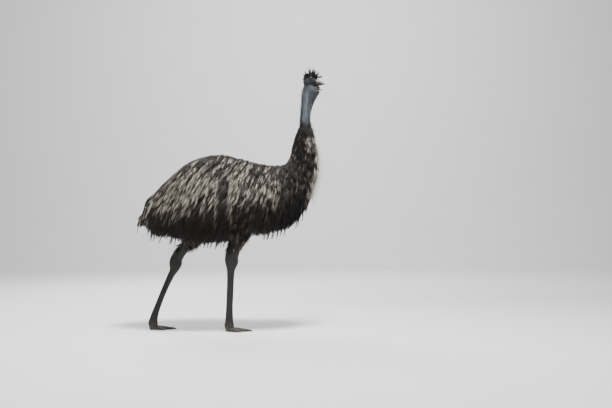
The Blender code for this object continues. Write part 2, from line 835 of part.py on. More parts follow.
def make_plumage(parts, scratch):
    """The tail, torso and lower neck: each a core with its locks, cut off at its two ends."""
    draw = random.Random(SEED)
    guides = [
        body_length("core", CORE_TIP, THROAT_END, 60, CORE_INSET, scratch),
        body_length("outline", TAIL_TIP, THROAT_END, 60, 0.0, scratch),
    ]
    core, outline = [tree_of(guide) for guide in guides]
    for guide in guides:
        bpy.data.objects.remove(guide, do_unlink=True)
    clear = leg_and_wing_trees(scratch)
    made = []
    for name, start, end, rings in (
        ("tail", CORE_TIP, TAIL_END, 5),
        ("torso", TAIL_END, TORSO_END, 18),
        ("neck_lower", TORSO_END, NECK_BEND, 6),
    ):
        behind = max(start - SPARE, CORE_TIP)
        body = body_length(name, behind, end + SPARE, rings, CORE_INSET, parts, (0.0, 0.0))
        locks = make_locks(draw, start, end, core, outline, clear, scratch)
        combine(body, locks, "UNION")
        blocks = [beyond("ahead", end, True, scratch)]
        if start > CORE_TIP:
            blocks.append(beyond("behind", start, False, scratch))
        combine(body, blocks, "DIFFERENCE")
        made.append(body)
    return made


# The whole bird


def build():
    clear_scene()
    parts = new_collection(PART)
    scratch = new_collection("cutters", hidden=True)
    tail, torso, neck_lower = make_plumage(parts, scratch)
    neck_upper = body_length("neck_upper", NECK_BEND, NECK_END, 8, 0.0, parts)
    head = make_head(parts, scratch)
    bill = make_bill(parts, scratch)
    eyes = make_eyes(parts)
    plumage = [tail, torso, neck_lower]
    bare_skin = [neck_upper, head]
    scales = []
    claws = []
    sockets = []
    for side in SIDES_OF_BODY:
        shank, tarsus, foot, nails, socket = make_leg(side, parts, scratch)
        wing, hollow = make_wing(side, parts, scratch)
        plumage += [shank, wing]
        scales += [tarsus, foot]
        claws += nails
        sockets += [socket, hollow]
    combine(torso, sockets, "DIFFERENCE")
    bpy.data.collections.remove(scratch)
    for names, colour, roughness, pieces in (
        ("plumage", (0.16, 0.135, 0.115), 0.75, plumage),
        ("neck_skin", (0.33, 0.36, 0.39), 0.6, bare_skin),
        ("bill_horn", (0.045, 0.04, 0.038), 0.4, bill),
        ("eye", (0.09, 0.035, 0.015), 0.1, eyes),
        ("leg_scales", (0.13, 0.115, 0.1), 0.65, scales),
        ("claw_horn", (0.03, 0.028, 0.026), 0.45, claws),
    ):
        for piece in pieces:
            piece.data.materials.clear()
            piece.data.materials.append(material(f"{names}_{piece.name}", colour, roughness))


build()
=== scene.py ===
"""A life-size emu in mid-stride: skin, feathers, bill, eyes and claws over its solid parts.

Everything is in metres in the solids' own frame: +X ahead, +Y to the bird's left, floor at z = 0.
The body is described by sections that run from the tail to the throat. A place counts along them
from 0, and an angle goes round from the back (0) over the left side to the belly (pi).
"""

import math
from collections import namedtuple

import bmesh
import bpy
import numpy as np
from bpy.props import FloatProperty, FloatVectorProperty, IntProperty, PointerProperty
from mathutils import Matrix, Vector
from mathutils.bvhtree import BVHTree


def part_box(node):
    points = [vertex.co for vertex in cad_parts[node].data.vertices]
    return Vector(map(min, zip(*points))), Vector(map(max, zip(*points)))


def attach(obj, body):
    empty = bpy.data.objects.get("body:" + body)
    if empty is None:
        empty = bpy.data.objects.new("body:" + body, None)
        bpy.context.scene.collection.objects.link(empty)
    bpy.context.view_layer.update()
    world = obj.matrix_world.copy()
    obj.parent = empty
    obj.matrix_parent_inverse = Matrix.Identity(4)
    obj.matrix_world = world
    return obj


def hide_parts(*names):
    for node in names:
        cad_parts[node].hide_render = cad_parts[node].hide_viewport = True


bl_info = {
    "name": "Emu",
    "version": (1, 0, 0),
    "blender": (4, 5, 0),
    "location": "View3D > Sidebar > Emu",
    "description": "Builds the skin, plumage, bill, eyes, claws and studio of a standing emu",
    "category": "Object",
}

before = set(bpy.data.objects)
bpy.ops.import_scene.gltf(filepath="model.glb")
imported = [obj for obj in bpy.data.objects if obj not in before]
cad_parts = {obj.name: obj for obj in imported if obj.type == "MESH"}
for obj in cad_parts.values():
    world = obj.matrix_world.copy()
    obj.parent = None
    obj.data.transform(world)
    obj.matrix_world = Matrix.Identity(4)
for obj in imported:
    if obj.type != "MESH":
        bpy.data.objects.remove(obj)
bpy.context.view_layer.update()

MM = 0.001
SIDES = ("right", "left")
SKIN_SLOT = "head"
PLUMAGE_SLOT = "torso"
BARE, SCALED, LINING = 1, 2, 3  # materials of the skin after the feathered one
FLESH = ("tail", "torso", "neck_lower", "neck_upper", "head") + tuple(
    f"{part}_{side}" for part in ("shank", "tarsus", "foot", "wing") for side in SIDES
)

# Body sections from the tail to the throat, in millimetres: the top edge (x, z), the bottom edge
# (x, z), half the width, and the depth of the coat. They give the outline at the feather tips.
BODY_SECTIONS = (
    (-600, 716, -596, 672, 12, 16),
    (-562, 762, -543, 659, 32, 40),
    (-537, 838, -498, 608, 85, 60),
    (-485, 880, -434, 595, 130, 70),
    (-421, 941, -364, 595, 165, 70),
    (-338, 1018, -281, 570, 200, 65),
    (-249, 1082, -197, 560, 220, 65),
    (-69, 1128, -31, 563, 230, 65),
    (123, 1088, 123, 605, 222, 65),
    (206, 1067, 199, 611, 210, 60),
    (270, 1061, 283, 630, 195, 60),
    (315, 1062, 366, 650, 175, 60),
    (347, 1067, 436, 710, 150, 55),
    (369, 1082, 487, 781, 125, 50),
    (385, 1101, 526, 870, 105, 45),
    (396, 1126, 555, 966, 90, 40),
    (402, 1162, 566, 1062, 78, 36),
    (411, 1203, 562, 1146, 68, 30),
    (421, 1248, 545, 1222, 58, 22),
    (432, 1286, 526, 1283, 48, 12),
    (444, 1376, 512, 1386, 34, 4),
    (453, 1469, 536, 1469, 33, 3),
    (455, 1510, 555, 1504, 34, 3),
    (461, 1545, 566, 1528, 34, 3),
    (472, 1583, 538, 1560, 29, 3),
)
BARE_FROM = 18.6  # the fine mesh of the bare neck begins here, under the last neck feathers
THROAT_END = 24.0
SAG = 0.8
FULLNESS = 0.8
ROUND_FROM = 15
TOP_COAT = 0.4  # depth of the coat along the back, as a share of that at the sides
NECK_DRIFT = -25 * MM
SLOPE_STEP = 0.02
TWIST = (19.5, 23.0)  # places over which the neck turns to follow the head

# Head rows along its own +X from the point midway between the eyes: x, top, bottom, half width.
SKULL = (
    (-55, -2, -32, 13),
    (-49, 11, -46, 22),
    (-37, 20, -57, 28),
    (-19, 26, -58, 31),
    (-2, 27, -45, 31.5),
    (13, 20, -38, 29),
    (24, 9, -38, 26),
    (33, 0, -38, 23.5),
)
UPPER_BILL = (
    (33, -1, -38, 23),
    (45, -9, -38.5, 20),
    (57, -17, -39, 17),
    (69, -24.5, -40, 13.5),
    (79, -31, -41.5, 9.5),
    (86, -37, -43.5, 5.5),
    (89.5, -42, -45, 1.6),
)
BILL_RIDGE = 1.4
BILL_GROOVE = -1.1
BILL_TROUGH = 1.8
UPPER_EDGE = 0.8
LOWER_EDGE = 0.7
CLAW_KEEL = 0.7
GAPE = (-4, 0, -38)  # the corner of the mouth, on the mid-plane
JAW_OPEN = math.radians(24)
JAW = (
    (-24, 6, -16, 20),
    (-8, 2, -19, 25),
    (8, 0, -20, 25),
    (24, 0, -20, 22),
    (38, 0, -19, 18.5),
)
LOWER_BILL = (
    (38, -0.3, -18.5, 18),
    (50, -0.8, -16, 15),
    (62, -1.5, -13, 11.5),
    (74, -2.5, -10, 7.5),
    (81, -3.5, -8, 4),
    (84, -5, -7.5, 1.8),
)
FACE_FORMS = (  # name, place and half sizes of the rounded forms on either side
    ("brow", (1, 17.5, 12), (24, 10, 6.5)),
    ("cheek", (-6, 17, -22), (24, 13, 15)),
    ("rictus", (7, 17.5, -42), (14, 6, 7)),
    ("orbit", (0, 20.5, 0), (17.5, 12, 17.5)),
)
# The palate reaches low and wears the dark mouth lining, which paints the shade inside the open mouth.
PALATE_AT = (36, 0, -40)
PALATE_SIZES = (38, 12, 7)
TONGUE_AT = (32, 0, 2)  # in the jaw's frame
TONGUE_SIZES = (30, 12.5, 10)
LID_OPENING = (49, 7, 5)  # degrees from the pupil, less above and below, and less for the upper lid
LID_FACES = (0.15, 1.7)  # inner and outer face over the eyeball
LID_PROFILE = (  # angle past the opening, face, height over that face
    (0.0, "inner", 0.0),
    (0.03, "inner", 0.4),
    (0.05, "inner", 1.0),
    (0.09, "outer", 0.35),
    (0.16, "outer", 0.2),
    (0.3, "outer", -0.1),
    (0.5, "outer", 0.0),
    (0.8, "outer", -0.5),
    (1.0, "outer", -3.0),
    (1.0, "inner", -3.0),
    (0.5, "inner", -0.8),
    (0.12, "inner", 0.0),
)
EAR_AT = (-27, -40)
EAR_SIZES = (4, 8, 6.5)
NOSTRIL_AT = (56, -27)
NOSTRIL_SIZES = (9.5, 4, 3)

# Where the skin changes, in metres.
BARE_ABOVE = 1.25
BARE_AHEAD = 0.35
SCALED_BELOW = 0.52
THIGH_SKIN = 0.6
THIGH_REACH = 0.16

# Leg rows from the top down, in millimetres: x, y, z, half the depth fore and aft, half the width.
LEGS = {
    "right": (
        (84, -88, 765, 90, 48),
        (63, -95, 630, 63, 50),
        (47, -86, 586, 46, 41),
        (29, -79, 541, 43, 37),
        (18, -74, 503, 43, 34),
        (11, -70, 472, 42, 31),
        (10, -66, 440, 41, 28),
        (5, -60, 395, 26, 20),
        (3, -54, 350, 22, 16),
        (-1, -42, 260, 21, 15),
        (-6, -30, 165, 21, 15.5),
        (-8, -22, 102, 23, 18),
        (-9, -18, 64, 26, 22),
        (-9, -16, 36, 30, 24),
        (-7, -16, -6, 19, 16),
    ),
    "left": (
        (-205, 90, 750, 88, 48),
        (-262, 100, 606, 72, 49),
        (-283, 98, 560, 56, 42),
        (-312, 95, 528, 47, 38),
        (-344, 92, 489, 45, 35),
        (-362, 90, 456, 41, 31),
        (-369, 88, 420, 41, 28),
        (-380, 87, 382, 29, 21),
        (-402, 85, 340, 23, 17),
        (-440, 81, 255, 20, 15),
        (-470, 79, 180, 20, 15.5),
        (-493, 77, 118, 22, 18),
        (-506, 75, 72, 26, 22),
        (-511, 75, 38, 30, 24),
        (-508, 75, -6, 19, 16),
    ),
}
HOCK = 6  # place along the leg rows
LEG_END = 14
LEG_PITCH = 2.1  # distance between the rings of the leg's mesh
LEG_BARE = (4.2, 5.6)  # places over which the thigh turns into scaled skin
LEG_FRONT = (0.75, 1.05)  # angles from straight ahead at which the front plates end
LEG_REAR = (2.3, 2.6)  # angles at which the rear plates begin
LEG_RADIUS = 22
LEG_PEBBLES = (5.5, 0.6)  # size and height of the round scales
REAR_PLATES = (0.7, 0.6)  # length and height against the front plates
KNUCKLE = (0.8, 0.5)  # reach of the hock along the rows, and share of relief it loses
TENDON = (1.6, 1.75, 0.22)  # depth of the groove beside the tendon, angle and width
TENDON_SPAN = ((6.5, 7.5), (11, 12))
FEET = {
    "right": ((-9, -16, 0), math.radians(-3)),
    "left": ((-510, 75, 0), math.radians(4)),
}
MIDDLE_TOE = (
    (0, 36, -4, 17),
    (24, 31, -4, 18.5),
    (42, 26, -4, 16.5),
    (58, 25, -4, 18),
    (75, 22, -4, 15.5),
    (91, 20, -4, 16.5),
    (108, 17, -3, 13.5),
    (122, 15, 1, 9.5),
)
SIDE_TOE = (
    (0, 32, -4, 14),
    (22, 28, -4, 15),
    (38, 23, -4, 13.5),
    (52, 20, -4, 14.5),
    (66, 16, -3, 11.5),
    (78, 13, 1, 8),
)
MIDDLE_CLAW = (
    (-3, 13.5, 2.5, 7.5),
    (4, 14.3, 1.8, 8.2),
    (11, 13, 2, 7),
    (21, 9, 2, 4.5),
    (29, 4.5, 2, 1.2),
)
SIDE_CLAW = (
    (-3, 11.5, 2.5, 6.2),
    (3, 12.3, 1.8, 6.8),
    (9, 11, 2, 5.5),
    (16, 8, 2, 3.6),
    (22, 4.5, 2, 1),
)
TOE_PLATES = (6.8, 0.9)
TOE_PEBBLES = (4, 0.5)
TOE_RADIUS = 12
TOE_TURNS = {"middle": 0.0, "inner": 27.0, "outer": -31.0}  # degrees towards the other foot
WING_ROWS = (
    (286, 148, 905, 22, 14),
    (255, 158, 868, 24, 15),
    (205, 168, 838, 20, 13),
    (150, 176, 812, 15, 10),
    (105, 180, 794, 8, 6),
)

# Locks of feathers by the place along the body, then in millimetres the distance between roots,
# the length and the width of one strand, and the number of strands in a lock.
LOCK_SIZES = (
    (0.4, 13, 105, 2.0, 9),
    (3.6, 15, 135, 2.1, 9),
    (8.0, 15.5, 140, 2.1, 9),
    (12.0, 14, 115, 2.0, 9),
    (15.0, 11.5, 85, 1.8, 8),
    (17.0, 10, 66, 1.6, 8),
    (19.4, 9, 50, 1.4, 6),
)
LIFT_ROWS = ((0.0, 1.0), (0.18, 0.55), (0.45, 0.2), (0.75, 0.05), (1.0, 0.0))  # share, coat left
LONG_STRAND = (0.0, 0.3, 0.58, 0.82, 1.0), (0.75, 1.0, 0.95, 0.62)  # rings with the tip last, widths
SHORT_STRAND = (0.0, 0.4, 0.76, 1.0), (0.8, 1.0, 0.7)
SHORT_FROM = 12.6  # place from which the feathers of the coat are short
MARCH = 12  # steps along a strand
LEAST_DEPTH = -0.06  # how far past the outline a feather may stand, as a share of the coat
RIDGE_RISE = 0.97  # how much nearer to the outline the feathers lie along the spine
RIDGE_WIDTH = 0.6
RIDGE_CREST = 0.28  # depth that the tips stand over the outline along the spine
THIN_FRONT = 0.5  # depth left off at the front of the neck, where only loose fluff reaches the outline
FRONT_FROM = (13.0, 14.0)
FRONT_TO = (18.6, 19.6)
FRONT_WIDTH = 0.95
FLYAWAY = 0.1
LIE_BACK = ((-0.5, 0.75), (-0.25, 0.6), (0.05, 0.42), (0.3, 0.2), (0.5, 0.1))  # x, slope to the rear
PART_WIDTH = 0.55  # how far the feathers of the back fall to either side
HANG = np.array((-0.15, 0.0, -1.0))
UNDERSIDE = (0.15, 0.55)
HEM_SECTIONS = slice(1, 16)  # body sections whose bottom edge is the hem
THIGH_BEGINS = (-0.02, 0.03)  # x over which the hem rises to let the right thigh out
THIGH_ENDS = (0.10, 0.15)
THIGH_SIDE = -0.06
THIGH_RISE = 0.1
HEM_RAGGED = (0.002, 0.055)
HEM_LOOSE = -0.03  # how far a few loose locks hang past the hem
LOOSE_SHARE = 0.035
HEM_FOLD = 0.045  # height over the hem from which a falling lock is gathered in
COAT_SPANS = (  # name, first place, last place
    ("tail", 0.0, 4.2),
    ("rump", 4.2, 6.1),
    ("hip", 6.1, 7.35),
    ("flank", 7.35, 9.4),
    ("shoulder", 9.4, 12.6),
    ("breast", 12.6, 15.4),
    ("neck", 15.4, 20.5),
)
SHADE_LEVEL = 0.66  # height of the painted shade line: locks under it are painted darker and lose their pale tips
SHADE_FORE = 0.07  # how much higher that is ahead of the thigh
SHADE_RAMP = 0.1

# Marks of the plumage by place in metres, length along the feather, or tone, among them painted sunlight
# and painted shade. A span holds where it starts and ends and, when they aren't nothing and one, its
# values there.
BLACK = (0.0, 0.0, 0.0)
PATCH_SCALE = 5.0
PATCH_RISE = 0.22  # how far the patches move the edge of the shade up and down
PATCH_FORWARD = 0.12
SHADE_AHEAD = (-0.05, 0.15, 0.0, 0.05)
SHADE_REAR = (-0.57, -0.46, 0.13, 0.0)
SUN_EDGE = (0.62, 0.84)
NECK_FROM = (0.33, 0.43)
NECK_DARKER = 0.4
BREAST_SHARE = (0.0, 1.0, 1.0, 0.5)
COLLAR = (1.225, 1.25, 1.0, 0.12)
PARTING_SHADE_BEHIND = 0.03  # painted shade in the parting behind the shoulder
PARTING_SHADE_WAVER = 0.1
PARTING_SHADE_WIDTH = (0.02, 0.05, 0.85, 0.0)
PARTING_SHADE_TOP = (0.95, 1.0, 1.0, 0.0)
PALE_TIP = (0.5, 0.9)
PALE_TONES = (0.34, 0.7)
BROWN_FROM = (0.25, 0.7)
BROWN_TONES = (0.1, 0.9, 0.15, 1.0)
# BROWN_HEIGHT fades the brown lower on the body, as painted shade of the underside.
BROWN_HEIGHT = (0.6, 0.86, 0.32, 1.0)
BROWN_PARTING_SHADE = (0.0, 0.8, 1.0, 0.35)
BROWN_AHEAD = (0.32, 0.43, 1.0, 0.1)
RUFF_MIDDLE = (0.495, 1.185)  # the pale patch at the front of the neck, x and height
RUFF_REACH = (0.024, 0.055)
RUFF_EDGE = (0.3, 1.2, 1.0, 0.0)
RUFF_TONES = (0.3, 0.5)
RUFF_FROM = (0.3, 0.7)
RUFF_STRANDS = (0.35, 0.6)
FLUFF_TONES = (1.02, 1.3)  # tones over one mark the pale loose feathers
FLUFF_FROM = (0.2, 0.6)
FLUFF_ABOVE = (1.4, 1.5)

# Marks and painted shade of the bare skin, with heights of the face from the middle of the eye.
FACE_PAINTED_SHADES = (  # painted shade on the lower face and jaw: from, to, strength, share of the dark colour
    (-0.12, -0.07, 0.5, 1.0),
    (-0.085, -0.055, 0.6, 1.0),
    (-0.045, -0.03, 0.75, 0.5),
)
# A dark line back from the corner of the mouth, partly the skin's own line and partly painted shade in the
# crease under the cheek.
GAPE_HEIGHT = -0.043
GAPE_WIDTH = (0.004, 0.012, 0.92, 0.0)
GAPE_FROM = (0.465, 0.49)
GAPE_LINE_AND_SHADE_COLOUR = (0.01, 0.01, 0.011)
CROWN_EDGE = (0.003, 0.016)
CROWN_COLOUR = (0.02, 0.019, 0.018)
LID_REACH = (0.024, 0.019)
LID_EDGE = (0.35, 1.1, 0.8, 0.0)
LID_COLOUR = (0.02, 0.021, 0.024)
LOW_NECK = (1.42, 1.475, 1.0, 0.0)
LOW_NECK_COLOUR = (0.014, 0.012, 0.011)
# Painted shadow under the jaw on the front of the throat.
JAW_SHADOW_FROM = (0.51, 0.54)
JAW_SHADOW_BELOW = (1.56, 1.535)
DUST_BELOW = (0.075, 0.0)
DUST_COLOUR = (0.085, 0.076, 0.063)
# Painted shade inside the nostrils.
NOSTRIL_SHADE_COLOUR = (0.003, 0.003, 0.003)
PUPIL_EDGE = (22.0, 23.5)  # degrees from the middle of the eye
PUPIL_COLOUR = (0.002, 0.002, 0.002)
IRIS_EDGE = (36.0, 41.0)
RIM_COLOUR = (0.012, 0.009, 0.008)

# Stage, in metres and degrees.
FLOOR_REACH, FLOOR_BACK, FLOOR_BEND, FLOOR_RISE = 14.0, 6.0, 2.0, 9.0
FLOOR_STEPS = 16
LIT_POINT = (0.0, 0.0, 0.9)
LIGHTS = (  # name, place, way it faces or none for the lit point, size, setting, share of it
    ("key", (0.7, -1.5, 4.6), None, 1.0, "key_power", 1.0),
    ("fill", (-2.5, -4.5, 1.6), None, 3.0, "fill_power", 1.0),
    ("rim", (-1.5, 2.8, 3.4), None, 1.8, "key_power", 0.4),
    ("wash", (0.5, 3.6, 4.6), (0.0, 4.4, -1.6), 5.0, "wash_power", 1.0),
)
CAMERA_AT = (0.481, -5.5, 0.762)
CAMERA_TILT = 90.533
SENSOR_WIDTH = 36.0  # millimetres
CLIP_END = 60.0

# Draws for each lock of the coat, and for the strands in a lock.
COAT_FROM, COAT_TO = 0.5, 19.3
ROOT_JITTER = (0.38, 0.4)  # round the body and along it, as shares of the spacing
LOCK_LENGTH = (0.75, 1.2)
LOCK_BEND = 0.22
LOCK_LIFT = 0.08
LOCK_TONE = (0.5, 0.28)
SPINE_WIDTH = 0.35
SPINE_DARKER = 0.2
FLYAWAY_PALER = 0.7
SHADE_EDGE = 0.045
SHADED_TONE = 0.3  # share of its tone that a lock in the shade keeps
STRAND_LENGTH = (0.72, 1.08)
STRAND_BEND = 0.12
STRAND_LIFT = 0.05
STRAND_HEM = (-0.006, 0.012)
STRAND_TONE = 0.1
STRAND_WIDTH = (0.7, 1.2)
CLOSING = (0.05, 0.75)  # shares of the length between which a lock closes
CLOSED = (0.6, 1.0)
OWN_WAY = 0.12  # how much of its own line a strand keeps in a closed lock
WAVES = (1.2, 2.6)
WAVE_HEIGHT = 1.4

# Hair-like feathers. Sizes are in millimetres.
Hairs = namedtuple("Hairs", "tufts width seed bow lengths rises tones hairs spread", defaults=(1, 0))
CROWN_HAIR = Hairs(90, 1.2, 11, 0.35, (12, 32), (0.2, 1.1), (0.12, 0.1), 15, 2.4)
FACE_HAIR = Hairs(2600, 0.9, 12, 0.1, (5, 13), (0.1, 0.4), (0.15, 0.1))
NECK_HAIR = Hairs(3600, 1.1, 13, 0.1, (16, 40), (0.05, 0.32), (0.16, 0.12))
THIGH_FEATHERS = Hairs(520, 1.6, 21, 0.1, (30, 58), (0.08, 0.3), (0.6, 0.25), 9, 4)
PALE_THIGH = (0.16, 1.13)  # share of the thigh's tufts that are pale, and their tone
THROAT_FLUFF = Hairs(240, 0.8, 14, 0.8, (0.75, 1.15), (0.7, 1.5), (1.1, 1.35), 5, 3)
THROAT_DEPTH = (0.95, 1.1, 1.2, 1.33), (76, 68, 56, 34)  # heights, length of the fluff there
HAIR_STRAY = 0.14
HAIR_ROOT = 1.5  # how deep a hair is set in the skin
HAIR_FLATNESS = 0.6
TALL_TUFTS = (  # x and y of the root on the head, length, lean ahead, lean to the left, tone
    (-10, -9, 52, -0.1, -0.1, 0.1),
    (-14, 6, 50, -0.3, 0.15, 0.15),
    (-4, -3, 46, 0.35, 0.0, 0.1),
    (-30, -2, 40, -0.6, -0.1, 0.2),
    (2, -7, 42, 0.45, -0.2, 1.06),
    (10, 4, 44, 0.35, 0.2, 1.08),
    (17, -10, 50, 0.15, -0.25, 1.09),
    (21, 5, 46, 0.55, 0.1, 1.06),
    (24, -4, 44, 0.9, -0.2, 1.07),
    (28, -8, 50, 3.5, -0.3, 0.1),
    (29, 6, 44, 2.4, 0.4, 0.2),
    (-44, 9, 32, -1.0, 0.3, 0.2),
)
TALL_HAIR = Hairs(len(TALL_TUFTS), 1.1, 15, 0.15, (0.6, 1.08), 1.0, (0, 0.03), 38, 1.9)
PATCH = 0.003  # width of a tuft's patch on its map


# Settings


def amount(name, text, value, **limits):
    return FloatProperty(name=name, description=text, default=value, **limits)


def tint(name, text, value):
    return FloatVectorProperty(
        name=name, description=text, default=value, subtype="COLOR", size=3, min=0.0, max=1.0
    )


class EmuSizes(bpy.types.PropertyGroup):
    """Sizes of the bird's skin and plumage"""

    seed: IntProperty(name="Seed", description="Start of the random draws", default=7)
    lock_spread: amount("Lock spread", "Width of a lock against its spacing", 0.8, min=0.2, max=2.0)
    clump: amount("Clump", "How far the strands of a lock close at its tip", 0.86, min=0.0, max=1.0)
    strand_thickness: amount("Strand thickness", "Thickness of a strand's middle", 0.0012, unit="LENGTH")
    skin_grain: amount("Skin grain", "Edge of the cells of the head's skin mesh", 0.0016, unit="LENGTH")
    scute_height: amount("Scute height", "Height of the plates on legs and toes", 0.0009, unit="LENGTH")
    scute_length: amount("Scute length", "Distance between the plates down the leg", 0.0095, unit="LENGTH")


class EmuColours(bpy.types.PropertyGroup):
    """Colours of the bird"""

    feather_dark: tint("Feather base", "The hidden and low parts of the feathers", (0.011, 0.009, 0.008))
    feather_mid: tint("Feather middle", "The brown of the exposed feathers", (0.075, 0.059, 0.044))
    # These pale tips are partly the feathers' own colour and partly painted light: they show only in the
    # painted sunlight high on the body.
    feather_pale: tint("Feather tip", "The bleached tips on back and flanks", (0.8, 0.72, 0.61))
    neck_skin: tint("Neck skin", "The bare skin of the neck and cheeks", (0.106, 0.121, 0.136))
    # Also the colour of the painted shade on the lower face and under the jaw.
    neck_dark_and_shade: tint("Skin folds", "The darker skin of the folds and throat", (0.03, 0.035, 0.041))
    # Partly the lining's own colour and partly painted shade inside the open mouth.
    mouth: tint("Mouth", "The lining of the mouth", (0.03, 0.014, 0.013))
    leg: tint("Leg scales", "The scales of legs and feet", (0.013, 0.0118, 0.0107))
    leg_seam: tint("Leg seams", "The skin between the scales", (0.005, 0.0045, 0.004))
    horn: tint("Horn", "Bill and claws", (0.014, 0.013, 0.012))
    # Real wear, and also the painted light on the up-facing faces of the upper bill.
    horn_worn_and_lit: tint("Worn horn", "Edges and ridges of bill and claws", (0.2, 0.188, 0.168))
    iris: tint("Iris", "The ring round the pupil", (0.032, 0.011, 0.005))


class EmuStudio(bpy.types.PropertyGroup):
    """Floor, light and camera"""

    floor: tint("Floor", "Floor and backdrop", (0.8, 0.8, 0.8))
    key_power: amount("Key light", "Strength of the light from above", 470.0)
    fill_power: amount("Fill light", "Strength of the light beside the camera", 16.0)
    wash_power: amount("Backdrop light", "Strength of the light on the backdrop", 300.0)
    sky: amount("Sky", "Strength of the even light all round", 0.4)
    lens: amount("Lens", "Focal length of the camera in millimetres", 50.5)


# Meshes


def triangle_mesh(name, points, triangles):
    mesh = bpy.data.meshes.new(name)
    mesh.vertices.add(len(points))
    mesh.vertices.foreach_set("co", np.ascontiguousarray(points, np.float32).ravel())
    mesh.loops.add(len(triangles) * 3)
    mesh.loops.foreach_set("vertex_index", np.ascontiguousarray(triangles, np.int32).ravel())
    mesh.polygons.add(len(triangles))
    mesh.polygons.foreach_set("loop_start", np.arange(0, len(triangles) * 3, 3, dtype=np.int32))
    mesh.update(calc_edges=True)
    mesh.validate()
    return mesh


def new_object(name, mesh):
    obj = bpy.data.objects.new(name, mesh)
    bpy.context.scene.collection.objects.link(obj)
    return obj


def grid_mesh(name, rings):
    """A closed loft through rings of equally many points: (levels, count, 3)."""
    levels, count, _ = rings.shape
    points = np.concatenate([rings.reshape(-1, 3), rings[[0, -1]].mean(1)])
    level, side = np.meshgrid(np.arange(levels - 1), np.arange(count), indexing="ij")
    here = (level * count + side).ravel()
    beside = (level * count + (side + 1) % count).ravel()
    lower = np.stack([here, beside, beside + count], 1)
    upper = np.stack([here, beside + count, here + count], 1)
    around = np.arange(count)
    after = (around + 1) % count
    first = np.stack([after, around, np.full(count, levels * count)], 1)
    last = (levels - 1) * count
    end = np.stack([last + around, last + after, np.full(count, levels * count + 1)], 1)
    return triangle_mesh(name, points, np.concatenate([lower, upper, first, end]))


def turn_outwards(mesh):
    bm = bmesh.new()
    bm.from_mesh(mesh)
    bmesh.ops.recalc_face_normals(bm, faces=bm.faces)
    bm.to_mesh(mesh)
    bm.free()


def loft(name, rings):
    mesh = grid_mesh(name, rings)
    turn_outwards(mesh)
    return new_object(name, mesh)


def ball(name, place, sizes, segments=32, rings=20):
    """An ellipsoid with the given half sizes, placed by a matrix."""
    bm = bmesh.new()
    bmesh.ops.create_uvsphere(bm, u_segments=segments, v_segments=rings, radius=1.0)
    bmesh.ops.transform(bm, matrix=place @ Matrix.Diagonal((*sizes, 1.0)), verts=bm.verts)
    mesh = bpy.data.meshes.new(name)
    bm.to_mesh(mesh)
    bm.free()
    return new_object(name, mesh)


def apply_modifiers(obj):
    graph = bpy.context.evaluated_depsgraph_get()
    mesh = bpy.data.meshes.new_from_object(obj.evaluated_get(graph))
    obj.modifiers.clear()
    obj.data = mesh


def combine(obj, others, operation, solver="MANIFOLD"):
    """Joins the others to the object, or cuts them from it, and removes them."""
    for other in others:
        modifier = obj.modifiers.new(operation.lower(), "BOOLEAN")
        modifier.operation = operation
        modifier.object = other
        modifier.solver = solver
    apply_modifiers(obj)
    for other in others:
        bpy.data.objects.remove(other, do_unlink=True)


def fuse(obj, others, grain, rounds):
    """Melts overlapping closed meshes into one even skin, and smooths it."""
    parts = [obj, *others]
    bm = bmesh.new()
    for part in parts:
        bm.from_mesh(part.data)
    mesh = bpy.data.meshes.new(obj.name)
    bm.to_mesh(mesh)
    bm.free()
    obj.data = mesh
    for other in others:
        bpy.data.objects.remove(other, do_unlink=True)
    remesh = obj.modifiers.new("even", "REMESH")
    remesh.mode = "VOXEL"
    remesh.voxel_size = grain
    soften = obj.modifiers.new("soften", "SMOOTH")
    soften.factor = 0.5
    soften.iterations = rounds
    apply_modifiers(obj)


def read_points(mesh):
    points = np.empty(len(mesh.vertices) * 3, np.float32)
    mesh.vertices.foreach_get("co", points)
    return points.reshape(-1, 3).astype(float)


def write_points(mesh, points):
    mesh.vertices.foreach_set("co", np.ascontiguousarray(points, np.float32).ravel())
    mesh.update()


def face_values(mesh, name):
    """The centre or the normal of each face."""
    values = np.empty(len(mesh.polygons) * 3, np.float32)
    mesh.polygons.foreach_get(name, values)
    return values.reshape(-1, 3).astype(float)


def shade_smooth(obj):
    obj.data.polygons.foreach_set("use_smooth", np.ones(len(obj.data.polygons), bool))


def add_attribute(mesh, name, values):
    layer = mesh.attributes.new(name, "FLOAT", "POINT")
    layer.data.foreach_set("value", np.ascontiguousarray(values, np.float32))


# Curves and surfaces


def curve(rows, places):
    """Rows at places along a smooth curve that passes through the listed rows."""
    rows = np.asarray(rows, float)
    places = np.asarray(places, float)
    index = np.clip(np.floor(places).astype(int), 0, len(rows) - 2)
    share = (places - index)[..., None]
    here = rows[index]
    after = rows[index + 1]
    before = np.where((index > 0)[..., None], rows[index - 1], 2 * here - after)
    further = rows[np.minimum(index + 2, len(rows) - 1)]
    beyond = np.where((index + 2 < len(rows))[..., None], further, 2 * after - here)
    return 0.5 * (
        2 * here
        + (after - before) * share
        + (2 * before - 5 * here + 4 * after - beyond) * share**2
        + (3 * here - before - 3 * after + beyond) * share**3
    )


def ease(low, high, value):
    share = np.clip((np.asarray(value, float) - low) / (high - low), 0.0, 1.0)
    return share * share * (3 - 2 * share)


def table(rows, values, column=1):
    return np.interp(values, [row[0] for row in rows], [row[column] for row in rows])


def bell(values, centre, width):
    """1 at the centre, falling off smoothly to both sides."""
    return np.exp(-(((values - centre) / width) ** 2))


def unit(vectors):
    return vectors / np.maximum(np.linalg.norm(vectors, axis=-1, keepdims=True), 1e-12)


def head_matrix():
    """The head's frame, from the places of the two eyes."""
    right, left = [np.array(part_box("eye_" + side)).mean(0) for side in SIDES]
    across = left - right
    yaw = math.atan2(-across[0], across[1])
    return Matrix.Translation(Vector((right + left) / 2)) @ Matrix.Rotation(yaw, 4, "Z")


HEAD = head_matrix()
HEAD_YAW = HEAD.to_euler().z
JAW_FRAME = HEAD @ Matrix.Translation(Vector(GAPE) * MM) @ Matrix.Rotation(JAW_OPEN, 4, "Y")


